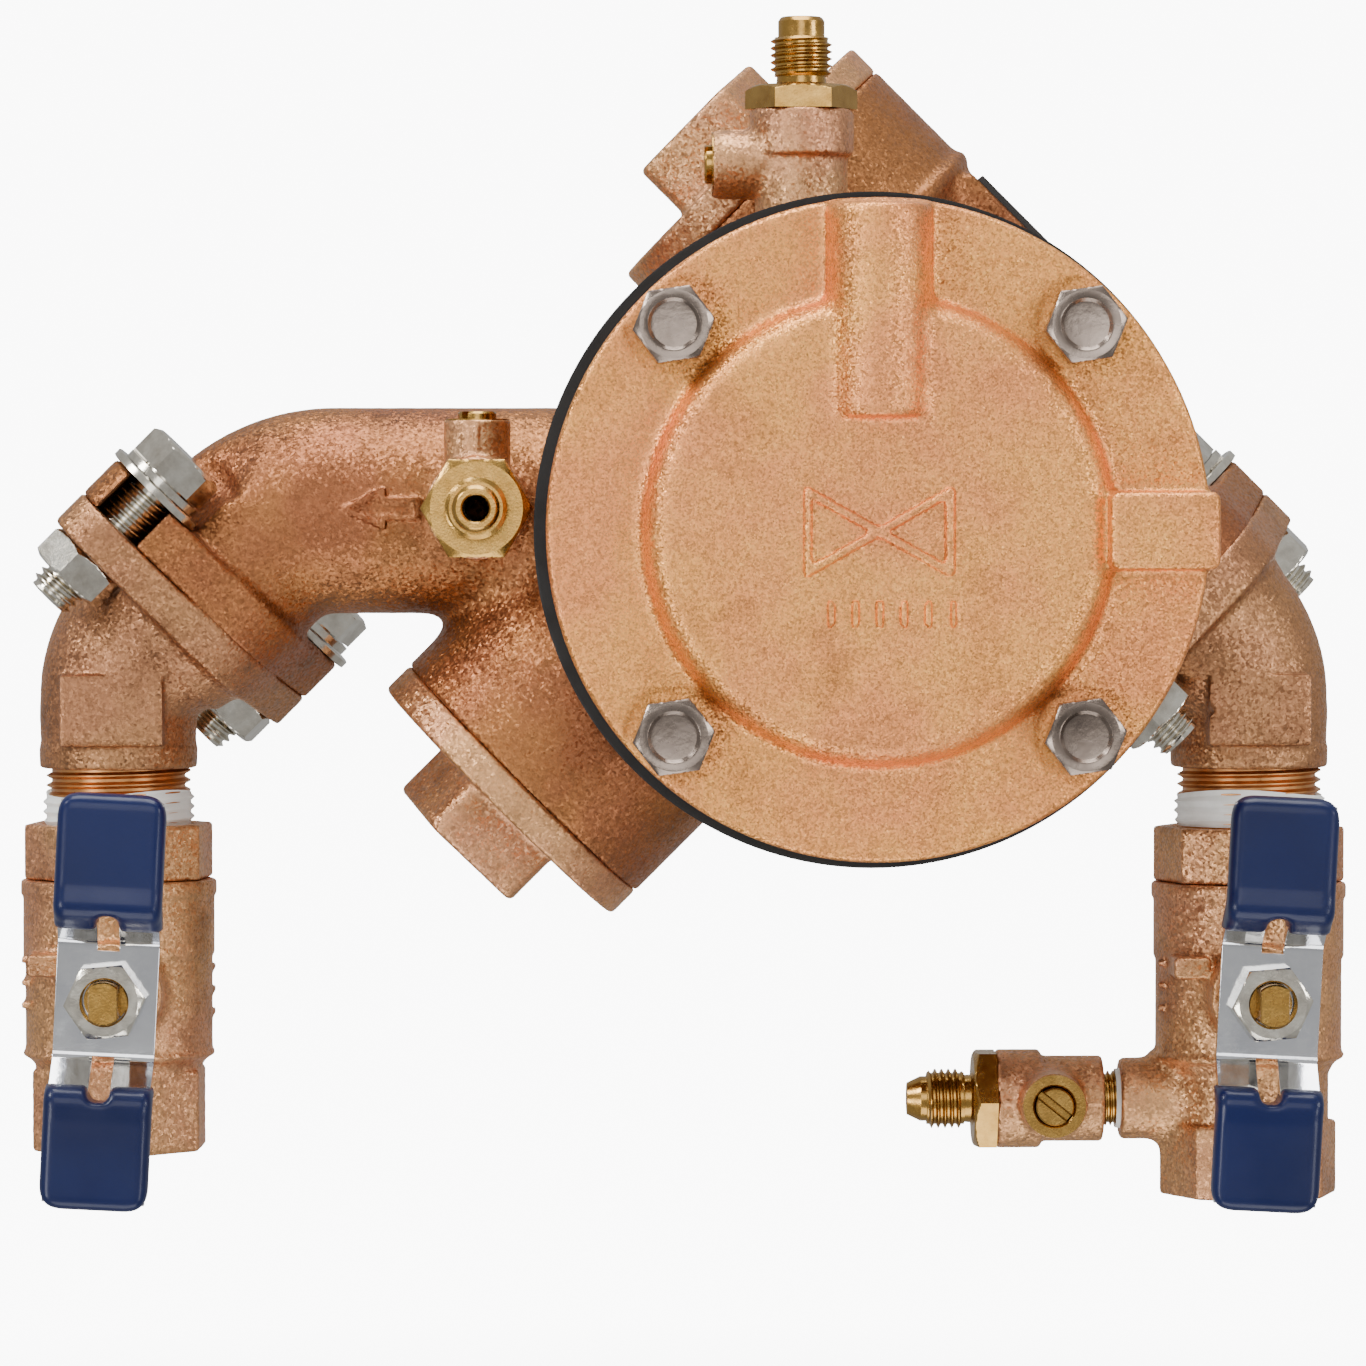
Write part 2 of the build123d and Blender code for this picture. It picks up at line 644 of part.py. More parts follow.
def ball_valve(side, place):
    """Body, retainer, ball, stem, T-handle, grips and nut of one ball valve."""
    centre = (place["x"], 0, place["z"])
    up = Plane(origin=centre, z_dir=(0, 0, 1))
    front = Plane(origin=centre, x_dir=(1, 0, 0), z_dir=(0, -1, 0))
    foot = place["foot"]
    with BuildPart() as body:
        hexagon(up, foot, place["hex_top"], 31.0, turn=place["turn"], sides=8)
        bar(up, foot + 4, -12.0, 15.0)
        taper(up, -15.0, -12.5, 15.0, 17.4)
        bar(up, -12.5, 6.0, 17.4)
        bar(up, 6.0, 16.8, 17.8)
        bar(up, 16.8, valve_ring_top, 18.2)
        bar(front, 0, 24.5, 9.5)
        # stop for the handle
        block(front, 8, 19.0, -15.8, -9.0, 3.0, 7.0)
        if side == "inlet":
            bar(cocks[1], -33.0, -cock_boss_end, cock_boss_r)
        bar(up, foot, foot + port_depth, port_r, Mode.SUBTRACT)
        bar(up, foot + port_depth, -11.5, ball_bore_r, Mode.SUBTRACT)
        bar(up, -11.5, 11.5, valve_cavity_r, Mode.SUBTRACT)
        bar(up, 11.5, valve_ring_top, valve_thread_r, Mode.SUBTRACT)
        bar(front, 10, 16.4, 6.2, Mode.SUBTRACT)
        bar(front, 16.4, 20, valve_stem_r + running_gap, Mode.SUBTRACT)
        bar(front, 20, 24.5, 7.0, Mode.SUBTRACT)
        if side == "inlet":
            cock_tapping(cocks[1], -30.0)
    write(body, f"{side}_valve_body")

    with BuildPart() as retainer:
        hexagon(up, valve_ring_top, valve_top, 33.0, turn=place["turn"] + 10, sides=8)
        bar(up, 11.5, valve_ring_top, valve_thread_r)
        bar(up, 11.5, 16.4, ball_bore_r, Mode.SUBTRACT)
        bar(up, 16.4, valve_top, pipe_thread_r, Mode.SUBTRACT)
    write(retainer, f"{side}_valve_retainer")

    with BuildPart() as ball:
        with Locations(up):
            Sphere(ball_r)
        bar(up, -ball_r, ball_r, ball_bore_r, Mode.SUBTRACT)
        block(front, 10.4, ball_r, -2.1, 2.1, -ball_r, ball_r, mode=Mode.SUBTRACT)
    write(ball, f"{side}_valve_ball")

    with BuildPart() as stem:
        block(front, 10.5, 13.6, -2.0, 2.0, -5.5, 5.5)
        bar(front, 13.6, 16.3, 6.0)
        bar(front, 16.3, 44.0, valve_stem_r)
        for edge in (valve_stem_flats / 2, -valve_stem_flats / 2 - 3):
            block(front, handle_mid - 1.2, 44.0, edge, edge + 3, -5, 5, mode=Mode.SUBTRACT)
    write(stem, f"{side}_valve_stem")

    lean = Vector(1, 0, 0).rotate(Axis.Y, handle_tilt)
    tilted = Plane(origin=centre, x_dir=lean, z_dir=(0, -1, 0))
    # x runs up the handle and y towards the viewer
    edge_on = Plane(
        origin=tilted.offset(handle_mid).origin, x_dir=tilted.y_dir, z_dir=tilted.x_dir
    )
    with BuildPart() as handle:
        with BuildSketch(edge_on):
            with BuildLine():
                FilletPolyline(*arm_points(36.0, 36.5), radius=3.0)
            trace(line_width=handle_t)
        extrude(amount=handle_w / 2, both=True)
        with Locations(tilted.offset(handle_mid - 3)):
            with Locations((0, 13.2), (0, -14.5)):
                Box(4.0, 8.5, 20, align=LOW, mode=Mode.SUBTRACT)
        bar(front, handle_mid - 1.2, handle_mid + 1.2, valve_stem_r, Mode.SUBTRACT)
    write(handle, f"{side}_valve_handle")

    with BuildPart() as grips:
        with BuildSketch(edge_on):
            with BuildLine():
                FilletPolyline(*arm_points(37.6, 38.2), radius=3.2)
            trace(line_width=grip_t)
        extrude(amount=grip_w / 2, both=True)
        block(tilted, 20, 60, -12, 12, -15.0, 13.0, mode=Mode.SUBTRACT)
        with Locations(tilted.offset(handle_mid - 3)):
            with Locations((0, 13.2), (0, -14.5)):
                Box(3.8, 9.0, 20, align=LOW, mode=Mode.SUBTRACT)
        with BuildSketch(edge_on):
            with BuildLine():
                FilletPolyline(*arm_points(36.0, 36.5), radius=3.0)
            trace(line_width=handle_t)
        extrude(amount=handle_w / 2, both=True, mode=Mode.SUBTRACT)
    write(grips, f"{side}_valve_grips")

    with BuildPart() as nut:
        hexagon(front, handle_mid + 1.0, handle_mid + 6.4, 12.9, turn=5)
        bar(front, handle_mid + 1.0, handle_mid + 6.4, valve_stem_r, Mode.SUBTRACT)
    write(nut, f"{side}_valve_handle_nut")


for valve_side, valve_place in valves.items():
    ball_valve(valve_side, valve_place)

with BuildPart() as ball_seats:
    for place in valves.values():
        up = Plane(origin=(place["x"], 0, place["z"]), z_dir=(0, 0, 1))
        ring(up, -11.5, -7.6, ball_bore_r, valve_cavity_r)
        ring(up, 7.6, 11.5, ball_bore_r, valve_cavity_r)
        with Locations(up):
            Sphere(ball_r + running_gap, mode=Mode.SUBTRACT)
write(ball_seats, "ball_seats")

with BuildPart() as stem_packings:
    for place in valves.values():
        front = Plane(origin=(place["x"], 0, place["z"]), x_dir=(1, 0, 0), z_dir=(0, -1, 0))
        ring(front, 20.0, 22.5, valve_stem_r + running_gap, 7.0)
write(stem_packings, "stem_packings")

with BuildPart() as packing_nuts:
    for place in valves.values():
        front = Plane(origin=(place["x"], 0, place["z"]), x_dir=(1, 0, 0), z_dir=(0, -1, 0))
        hexagon(front, 24.5, 29.5, 15.5)
        bar(front, 22.5, 24.5, 7.0)
        bar(front, 22.5, 29.5, valve_stem_r + 0.3, Mode.SUBTRACT)
write(packing_nuts, "packing_nuts")
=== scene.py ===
"""Looks of the backflow preventer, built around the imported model.

Castings are signed distance fields in millimetres, unioned with soft fillets and turned into
meshes; threads, hex heads and washers are turned shapes. Every piece rides on its CAD body.
"""
import json
import math
from itertools import product

import bmesh
import bpy
import numpy as np
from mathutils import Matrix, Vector


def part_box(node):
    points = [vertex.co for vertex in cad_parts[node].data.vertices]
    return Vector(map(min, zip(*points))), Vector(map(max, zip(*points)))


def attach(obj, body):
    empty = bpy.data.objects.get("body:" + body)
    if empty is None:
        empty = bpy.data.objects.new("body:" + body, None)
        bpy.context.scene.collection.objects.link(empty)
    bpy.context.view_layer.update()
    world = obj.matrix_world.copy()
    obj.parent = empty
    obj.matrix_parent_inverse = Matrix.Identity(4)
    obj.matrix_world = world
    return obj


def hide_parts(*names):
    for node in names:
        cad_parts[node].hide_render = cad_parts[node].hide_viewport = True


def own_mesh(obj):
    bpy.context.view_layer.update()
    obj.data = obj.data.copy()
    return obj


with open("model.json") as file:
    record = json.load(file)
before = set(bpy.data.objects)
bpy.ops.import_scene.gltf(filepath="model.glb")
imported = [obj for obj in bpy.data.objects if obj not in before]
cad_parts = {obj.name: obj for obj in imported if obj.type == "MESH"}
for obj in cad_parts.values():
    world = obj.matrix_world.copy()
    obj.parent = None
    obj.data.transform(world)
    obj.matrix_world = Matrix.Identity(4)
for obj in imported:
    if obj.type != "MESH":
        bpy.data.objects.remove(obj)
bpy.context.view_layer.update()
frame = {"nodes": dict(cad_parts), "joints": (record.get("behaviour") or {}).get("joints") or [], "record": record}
NODES = frame["nodes"]
JOINTS = {joint["name"]: joint for joint in frame["joints"]}
MOUNTS = {mount["name"]: mount for mount in frame["record"]["mounts"]}
BODY_OF = {n: b for b, ns in frame["record"]["behaviour"]["bodies"].items() for n in ns}
SLOT_OF = {s["node"]: s["material_slot"] for s in frame["record"]["subparts"]}
MM = 0.001

# --- axes and places (mm)


def unit(vector):
    vector = np.asarray(vector, float)
    return vector / np.linalg.norm(vector)


class Axes:
    """An origin with three directions: z is the axis that shapes are turned about."""

    def __init__(self, origin, z, x):
        self.origin = np.asarray(origin, float)
        self.z = unit(z)
        self.x = unit(x)
        self.y = np.cross(self.z, self.x)

    def moved(self, x=0.0, y=0.0, z=0.0):
        return Axes(self.origin + x * self.x + y * self.y + z * self.z, self.z, self.x)

    def world(self, points):
        points = np.asarray(points, float)
        axes = np.stack([self.x, self.y, self.z])
        return self.origin + points @ axes

    def local(self, gx, gy, gz):
        d = (gx - self.origin[0], gy - self.origin[1], gz - self.origin[2])
        return [sum(d[i] * axis[i] for i in range(3)) for axis in (self.x, self.y, self.z)]


def upright(x, y=0.0, z=0.0):
    return Axes((x, y, z), (0, 0, 1), (1, 0, 0))


def facing(origin):
    """Axes that look out of the photograph, towards the viewer."""
    return Axes(origin, (0, -1, 0), (1, 0, 0))


def millimetres(values):
    return np.asarray(values, float) / MM


SEAM_IN = 14.4  # from a port's axis to the middle of its union
SEAM_Z = 111.9
ELBOW_CORNER_Z = 97.5
TUBE_CORNER = (-180.8, 0, 128.0)
TUBE_Z = TUBE_CORNER[2]
TUBE_R = 19.15
TUBE_BEND_R = 24.0
CHAMBER_R = 24.5
RIM_R = 29.8  # the check chambers' flared mouths
BOWL_R = 58.65
STEM_R = 3.95
PIPE_PITCH = 1.814
INLET_X = millimetres(MOUNTS["inlet_port"]["pos_m"])[0]
OUTLET_X = millimetres(MOUNTS["outlet_port"]["pos_m"])[0]
SEAMS = {
    "inlet": Axes((INLET_X - SEAM_IN, 0, SEAM_Z), (-1, 0, 1), (1, 0, 1)),
    "outlet": Axes((OUTLET_X + SEAM_IN, 0, SEAM_Z), (1, 0, 1), (-1, 0, 1)),
}
CHECKS = {
    1: (SEAMS["inlet"], 108.5),
    2: (Axes((-58.3, 0, 155.8), (-1, 0, -1), (-1, 0, 1)), 109.8),
}
RELIEF = facing(millimetres(JOINTS["relief_open"]["pos_m"]) * (1, 0, 1))
COCK_STEMS = {1: (0, -1, 0), 2: (1, 0, 1), 3: (-1, 0, 0), 4: (0, 0, 1)}
COCKS = {
    n: Axes(millimetres(JOINTS[f"cock_{n}_turn"]["pos_m"]), MOUNTS[f"test_flare_{n}"]["axis"], stem)
    for n, stem in COCK_STEMS.items()
}
VALVES = {
    side: Axes(millimetres(JOINTS[f"{side}_handle_turn"]["pos_m"]), (0, 0, 1), (1, 0, 0))
    for side in ("inlet", "outlet")
}
BOLT_PLACE = 18.5
BOLT_SPOTS = ((BOLT_PLACE, BOLT_PLACE), (-BOLT_PLACE, -BOLT_PLACE))
COVER_PLACE = 36.2
COVER_BOLTS = [RELIEF.moved(*at) for at in product((-COVER_PLACE, COVER_PLACE), repeat=2)]

# --- mesh helpers


def in_scene(name, data):
    """A new object in the scene's collection."""
    made = bpy.data.objects.new(name, data)
    bpy.context.scene.collection.objects.link(made)
    return made


def mesh_of(name, verts, faces):
    """A mesh from points in millimetres."""
    mesh = bpy.data.meshes.new(name)
    mesh.from_pydata((np.asarray(verts, float) * MM).tolist(), [], faces)
    return mesh


def extra(name, shape, material):
    """A generated piece of the body that stands for no CAD node of its own."""
    place(name, mesh_of(name, *shape), "body", material)


def place(name, mesh, body, material, crease=35.0):
    """Link a mesh as a piece: sharp edges by angle, its material and its body."""
    clean = bmesh.new()
    clean.from_mesh(mesh)
    bmesh.ops.remove_doubles(clean, verts=clean.verts, dist=1e-6)
    bmesh.ops.recalc_face_normals(clean, faces=clean.faces)
    limit = math.radians(crease)
    for edge in clean.edges:
        edge.smooth = len(edge.link_faces) == 2 and edge.calc_face_angle(0.0) < limit
    for face in clean.faces:
        face.smooth = True
    clean.to_mesh(mesh)
    clean.free()
    mesh.materials.clear()
    mesh.materials.append(material)
    piece = in_scene(name, mesh)
    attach(piece, body)
    return piece


def rings_to_mesh(rings, close_low=True, close_high=True):
    """Points and faces of a skin through equal closed rings, capped at its ends."""
    count, last = len(rings[0]), (len(rings) - 1) * len(rings[0])
    verts = [tuple(p) for ring in rings for p in ring]
    faces = []
    for a, i in product(range(0, last, count), range(count)):
        j, b = (i + 1) % count, a + count
        faces.append((a + i, a + j, b + j, b + i))
    if close_low:
        faces.append(tuple(range(count - 1, -1, -1)))
    if close_high:
        faces.append(tuple(range(last, last + count)))
    return verts, faces


def joined(parts):
    """Several (points, faces) pairs as one."""
    verts, faces = [], []
    for part_verts, part_faces in parts:
        base = len(verts)
        verts += [tuple(p) for p in part_verts]
        faces += [tuple(base + i for i in f) for f in part_faces]
    return verts, faces


# --- distance fields


def beyond(values, low, high):
    """How far values lie outside a span: negative inside it."""
    return np.abs(values - (low + high) / 2) - (high - low) / 2


def rounded(out, end, edge):
    """Distance to a solid from those to its side and its end, each already moved in by edge."""
    outside = np.sqrt(np.maximum(out, 0) ** 2 + np.maximum(end, 0) ** 2)
    return np.minimum(np.maximum(out, end), 0) + outside - edge


def soft_min(first, second, soft):
    """The smaller of two distances, with a fillet about soft millimetres wide between them."""
    h = np.clip(0.5 + 0.5 * (first - second) / soft, 0, 1)
    return first * (1 - h) + second * h - soft * h * (1 - h)


def to_segment(x, y, start, end):
    """Distance from points of a plane to a straight line between two places."""
    dx, dy = end[0] - start[0], end[1] - start[1]
    t = ((x - start[0]) * dx + (y - start[1]) * dy) / max(dx * dx + dy * dy, 1e-9)
    t = np.clip(t, 0, 1)
    return np.hypot(x - start[0] - t * dx, y - start[1] - t * dy)


def box_corners(reach, z0, z1):
    """The corners of a square box about the z axis, which holds a whole shape."""
    return list(product((-reach, reach), (-reach, reach), (z0, z1)))


def bar(axes, z0, z1, radius, edge=0.0, top_radius=None):
    """A round bar, or a cone when top_radius is given, with rounded rims."""
    top = radius if top_radius is None else top_radius
    slope = (top - radius) / (z1 - z0)
    shrink = 1.0 / math.hypot(1.0, slope)

    def distance(x, y, z):
        out = (np.sqrt(x * x + y * y) - (radius + slope * (z - z0))) * shrink + edge
        return rounded(out, beyond(z, z0, z1) + edge, edge)

    return axes, box_corners(max(radius, top), z0, z1), distance


def block(axes, xs, ys, zs, edge=0.0, corner=0.0):
    """A box in local coordinates with rounded edges, and rounder corners about z."""
    round_xy = max(edge, corner)

    def distance(x, y, z):
        out = rounded(beyond(x, *xs) + round_xy, beyond(y, *ys) + round_xy, round_xy)
        return rounded(out + edge, beyond(z, *zs) + edge, edge)

    return axes, list(product(xs, ys, zs)), distance


def octagon(axes, z0, z1, flats, turn, edge):
    """A regular eight-sided prism with rounded edges."""
    angles = [math.radians(turn + 45.0 * (k + 0.5)) for k in range(8)]

    def distance(x, y, z):
        out = -1e3
        for angle in angles:
            out = np.maximum(out, x * math.cos(angle) + y * math.sin(angle))
        return rounded(out - flats / 2 + edge, beyond(z, z0, z1) + edge, edge)

    return axes, box_corners(flats / 2 / math.cos(math.pi / 8), z0, z1), distance


def oval(axes, z0, z1, waist=20.5, lobe=9.0, edge=0.7):
    """The two-bolt flange: the hull of a waist circle and two lobes on the diagonal."""
    far = math.hypot(BOLT_PLACE, BOLT_PLACE)
    b = (waist - lobe) / far
    a = math.sqrt(1 - b * b)

    def distance(x, y, z):
        along = np.abs(x + y) * math.sqrt(0.5)
        across = np.abs(x - y) * math.sqrt(0.5)
        k = -b * across + a * along
        out = np.where(k < 0, np.hypot(across, along) - waist, across * a + along * b - waist)
        out = np.where(k > a * far, np.hypot(across, along - far) - lobe, out)
        return rounded(out + edge, beyond(z, z0, z1) + edge, edge)

    return axes, box_corners(far, z0, z1), distance


def ball(axes, radius):
    """A sphere about the axes' origin."""

    def distance(x, y, z):
        return np.sqrt(x * x + y * y + z * z) - radius

    return axes, box_corners(radius, -radius, radius), distance


def bend(start, corner, end, bend_r, stations):
    """A pipe of two runs and an arc in the XZ plane, by stations of share of length and radius."""
    start, corner, end = (np.asarray(p, float) for p in (start, corner, end))
    d0, d1 = unit(corner - start), unit(end - corner)
    half_turn = math.acos(float(d0 @ d1)) / 2
    run0 = np.linalg.norm(corner - start) - bend_r * math.tan(half_turn)
    run1 = np.linalg.norm(end - corner) - bend_r * math.tan(half_turn)
    centre = corner + unit(d1 - d0) * bend_r / math.cos(half_turn)
    inward = unit(centre - (start + run0 * d0))
    total = run0 + 2 * half_turn * bend_r + run1
    shares, radii = zip(*stations)

    def distance(x, y, z):
        s0 = (x - start[0]) * d0[0] + (z - start[2]) * d0[2]
        s1 = (x - end[0]) * d1[0] + (z - end[2]) * d1[2]
        rx, rz = x - centre[0], z - centre[2]
        turn = np.arctan2(rx * d0[0] + rz * d0[2], -(rx * inward[0] + rz * inward[2]))
        first = s0 <= run0
        last = ~first & (s1 >= -run1)
        length = np.where(first, s0, np.where(last, total + s1, run0 + bend_r * turn))
        side = np.where(first, (z - start[2]) * d0[0] - (x - start[0]) * d0[2],
                        np.hypot(rx, rz) - bend_r)
        side = np.where(last, (z - end[2]) * d1[0] - (x - end[0]) * d1[2], side)
        out = np.hypot(side, y) - np.interp(length / total, shares, radii)
        ends = np.where(first, -s0, np.where(last, s1, -99.0))
        return np.maximum(out, ends)

    corners = [p + reach for p in (start, corner, end) for reach in (max(radii), -max(radii))]
    return upright(0), corners, distance


def stroke(axes, points, z0, z1, width, closed=True):
    """A raised line of half-round section along points in the local x, y plane."""
    points = np.asarray(points, float)
    ends = np.roll(points, -1, 0) if closed else points[1:]
    pairs = list(zip(points if closed else points[:-1], ends))

    def distance(x, y, z):
        out = 1e3
        for pair in pairs:
            out = np.minimum(out, to_segment(x, y, *pair))
        out, end = out - width / 2, beyond(z, z0, z1)
        soft = 0.35
        return np.maximum(out, end) + soft * np.clip(1 - np.abs(out - end) / soft, 0, 1) ** 2 / 4

    spans = np.stack([points.min(0) - width, points.max(0) + width], 1)
    return axes, list(product(*spans, (z0, z1))), distance


class Casting:
    """A solid on a grid of distances, built by soft unions and cuts."""

    def __init__(self, node_box, step, margin=2.5):
        low, high = (np.asarray(corner, float) / MM for corner in node_box)
        self.low = low - margin
        self.step = step
        self.count = np.ceil((high - low + 2 * margin) / step).astype(int) + 1
        self.field = np.full(self.count, 9.0, np.float32)

    def measure(self, shape, pad):
        """The window of the grid that holds a shape and a margin, and its distances there."""
        axes, corners, distance = shape
        corners = axes.world(corners)
        first = np.floor((corners.min(0) - pad - self.low) / self.step).astype(int)
        last = np.ceil((corners.max(0) + pad - self.low) / self.step).astype(int) + 1
        first, last = np.clip(first, 0, self.count), np.clip(last, 0, self.count)
        lines = [self.low[i] + self.step * np.arange(first[i], last[i]) for i in range(3)]
        grid = np.meshgrid(*lines, indexing="ij", sparse=True)
        slices = tuple(slice(a, b) for a, b in zip(first, last))
        return slices, distance(*axes.local(*grid)).astype(np.float32)

    def add(self, shape, soft=0.0, sign=1):
        slices, new = self.measure(shape, 2 * soft + 6 * self.step)
        old = sign * self.field[slices]
        self.field[slices] = sign * (soft_min(old, new, soft) if soft else np.minimum(old, new))

    def cut(self, shape, soft=0.0):
        self.add(shape, soft, -1)

    def stack(self, axes, *rows):
        """Add round bars: each row is a fillet, two heights, a radius, an edge and a top radius."""
        for soft, *row in rows:
            self.add(bar(axes, *row), soft)

    def keep(self, shape, soft):
        """Cut away whatever lies outside the shape."""
        slices, new = self.measure(shape, 99.0)
        self.field[slices] = -soft_min(-self.field[slices], -new, soft)

    def bore(self, axes, *rows):
        """Cut plain round holes: each row is a bar's heights and radii."""
        for row in rows:
            self.cut(bar(axes, *row))

    def roughen(self, height, seed):
        """Sand-mould unevenness: random heights about two cells across."""
        rng = np.random.default_rng(seed)
        noise = rng.standard_normal(self.count).astype(np.float32)
        for axis in range(3):
            noise = noise + 0.5 * (np.roll(noise, 1, axis) + np.roll(noise, -1, axis))
        self.field += noise * (height / noise.std())

    def surface(self):
        """Points and quads of the zero surface, one point in each crossed cell."""
        inside = self.field < 0
        nx, ny, nz = self.count - 1
        offsets = list(product((0, 1), repeat=3))
        total = np.zeros((nx, ny, nz), np.uint8)
        for i, j, k in offsets:
            total += inside[i:i + nx, j:j + ny, k:k + nz]
        cells = np.argwhere((total > 0) & (total < 8))
        values = {o: self.field[tuple((cells + o).T)] for o in offsets}
        place_sum = np.zeros((len(cells), 3))
        crossings = np.zeros(len(cells))
        for start, axis in product(offsets, range(3)):
            if start[axis] == 1:
                continue
            end = tuple(1 if i == axis else start[i] for i in range(3))
            va, vb = values[start], values[end]
            crossed = (va < 0) != (vb < 0)
            t = np.where(crossed, va / np.where(crossed, va - vb, 1.0), 0.0)
            point = np.tile(np.array(start, float), (len(cells), 1))
            point[:, axis] += t
            place_sum += point * crossed[:, None]
            crossings += crossed
        points = self.low + self.step * (cells + place_sum / crossings[:, None])
        number = np.full((nx, ny, nz), -1, np.int64)
        number[tuple(cells.T)] = np.arange(len(cells))
        return points, self.quads(inside, number)

    def quads(self, inside, number):
        """A quad about each grid edge that crosses the surface, from the numbers of its cells."""
        quads = []
        for axis in range(3):
            b, c = (axis + 1) % 3, (axis + 2) % 3
            lower = np.take(inside, range(inside.shape[axis] - 1), axis)
            upper = np.take(inside, range(1, inside.shape[axis]), axis)
            edges = np.argwhere(lower != upper)
            sides = edges[:, [b, c]]
            edges = edges[((sides > 0) & (sides < self.count[[b, c]] - 1)).all(1)]
            around = []
            for shift in ((-1, -1), (0, -1), (0, 0), (-1, 0)):
                cell = edges.copy()
                cell[:, [b, c]] += shift
                around.append(number[tuple(cell.T)])
            around = np.stack(around, 1)
            flip = ~lower[tuple(edges.T)]
            around[flip] = around[flip][:, ::-1]
            quads.append(around)
        return np.concatenate(quads)


def cast_piece(name, casting, node, material=None, crease=42.0):
    """Turn a finished casting into a piece that stands for its CAD node."""
    points, quads = casting.surface()
    mesh = bpy.data.meshes.new(name)
    mesh.vertices.add(len(points))
    mesh.vertices.foreach_set("co", (points * MM).astype(np.float32).ravel())
    mesh.loops.add(quads.size)
    mesh.loops.foreach_set("vertex_index", quads.astype(np.int32).ravel())
    mesh.polygons.add(len(quads))
    mesh.polygons.foreach_set("loop_start", np.arange(0, quads.size, 4, dtype=np.int32))
    mesh.update(calc_edges=True)
    mesh.validate()
    mesh.shade_smooth()
    if crease:
        mesh.set_sharp_from_angle(angle=math.radians(crease))
    mesh.materials.append(material or MATERIALS[SLOT_OF[node]])
    piece = in_scene(name, mesh)
    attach(piece, BODY_OF[node])
    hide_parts(node)


# --- materials


class Nodes:
    """A material or a world being put together: its shader, fed by textures in metres."""

    def __init__(self, owner, shader="Principled BSDF"):
        owner.use_nodes = True
        self.owner, self.tree = owner, owner.node_tree
        self.shader = self.tree.nodes[shader]
        self.places = self.node("ShaderNodeTexCoord").outputs
        self.where = self.places["Object"]

    def feed(self, socket, value):
        """Link a socket to another node's output, or set it to a constant."""
        if isinstance(value, bpy.types.NodeSocket):
            self.tree.links.new(value, socket)
        else:
            socket.default_value = value

    def node(self, kind, inputs=(), **settings):
        """A new node with its settings and its inputs, which go by name or number."""
        made = self.tree.nodes.new(kind)
        for key, value in settings.items():
            setattr(made, key, value)
        for key, value in dict(inputs).items():
            self.feed(made.inputs[key], value)
        return made

    def vector(self, operation, inputs):
        return self.node("ShaderNodeVectorMath", inputs, operation=operation).outputs[0]

    def noise(self, scale, detail=2.0, rough=0.5):
        return self.node("ShaderNodeTexNoise", {
            "Vector": self.where, "Scale": scale, "Detail": detail, "Roughness": rough,
        }).outputs["Fac"]

    def cells(self, scale):
        """Grains: one random number for each, and one random colour."""
        colour = self.node("ShaderNodeTexVoronoi",
                           {"Vector": self.where, "Scale": scale}).outputs["Color"]
        return self.node("ShaderNodeSeparateColor", {0: colour}).outputs[0], colour

    def glitter(self, colour, strength):
        """The surface normal, tilted a little differently on each grain."""
        middle = self.vector("SUBTRACT", {0: colour, 1: (0.5, 0.5, 0.5)})
        scaled = self.vector("SCALE", {0: middle, "Scale": strength})
        normal = self.node("ShaderNodeNewGeometry").outputs["Normal"]
        return self.vector("NORMALIZE", {0: self.vector("ADD", {0: normal, 1: scaled})})

    def spread(self, value, low, high, out_low=0.0, out_high=1.0):
        return self.node("ShaderNodeMapRange", {
            "Value": value, "From Min": low, "From Max": high,
            "To Min": out_low, "To Max": out_high,
        }).outputs["Result"]

    def mix(self, share, first, second, kind="MIX"):
        """A mix of colours, by the numbers of the mix node's colour sockets."""
        return self.node("ShaderNodeMix", {0: share, 6: first, 7: second},
                         data_type="RGBA", blend_type=kind).outputs[2]

    def bump(self, height, distance, strength=1.0, **normal):
        made = self.node("ShaderNodeBump", {
            "Height": height, "Distance": distance, "Strength": strength, **normal})
        self.set(Normal=made.outputs["Normal"])

    def set(self, **values):
        for key, value in values.items():
            self.feed(self.shader.inputs[key.replace("_", " ")], value)
        return self


def linear(srgb):
    """An sRGB colour of 0 to 255 as the linear colour a shader wants."""
    shares = [v / 255 for v in srgb]
    return tuple(v / 12.92 if v <= 0.04045 else ((v + 0.055) / 1.055) ** 2.4
                 for v in shares) + (1.0,)


def cast_metal(name, base, pink, dark, grain=2200.0, sparkle=0.27):
    """Sand-cast bronze: blotches of colour, a sparkling grain and a pitted surface."""
    m = Nodes(bpy.data.materials.new(name))
    blotch = m.spread(m.noise(38.0, 3.0, 0.6), 0.42, 0.62)
    colour = m.mix(blotch, linear(base), linear(pink))
    stain = m.spread(m.noise(90.0, 4.0, 0.65), 0.52, 0.78, 0.0, 0.7)
    colour = m.mix(stain, colour, linear(dark))
    fleck, tilt = m.cells(grain)
    shine = m.spread(fleck, 0.0, 1.0, 1.0 - sparkle, 1.0 + sparkle)
    grey = m.node("ShaderNodeCombineColor", {0: shine, 1: shine, 2: shine})
    colour = m.mix(1.0, colour, grey.outputs[0], "MULTIPLY")
    rough = m.spread(m.noise(grain * 0.8, 2.0), 0.3, 0.7, 0.32, 0.55)
    m.bump(m.noise(grain * 0.55, 2.0, 0.6), 0.00009, 0.8, Normal=m.glitter(tilt, 0.46))
    return m.set(Base_Color=colour, Metallic=0.92, Roughness=rough).owner


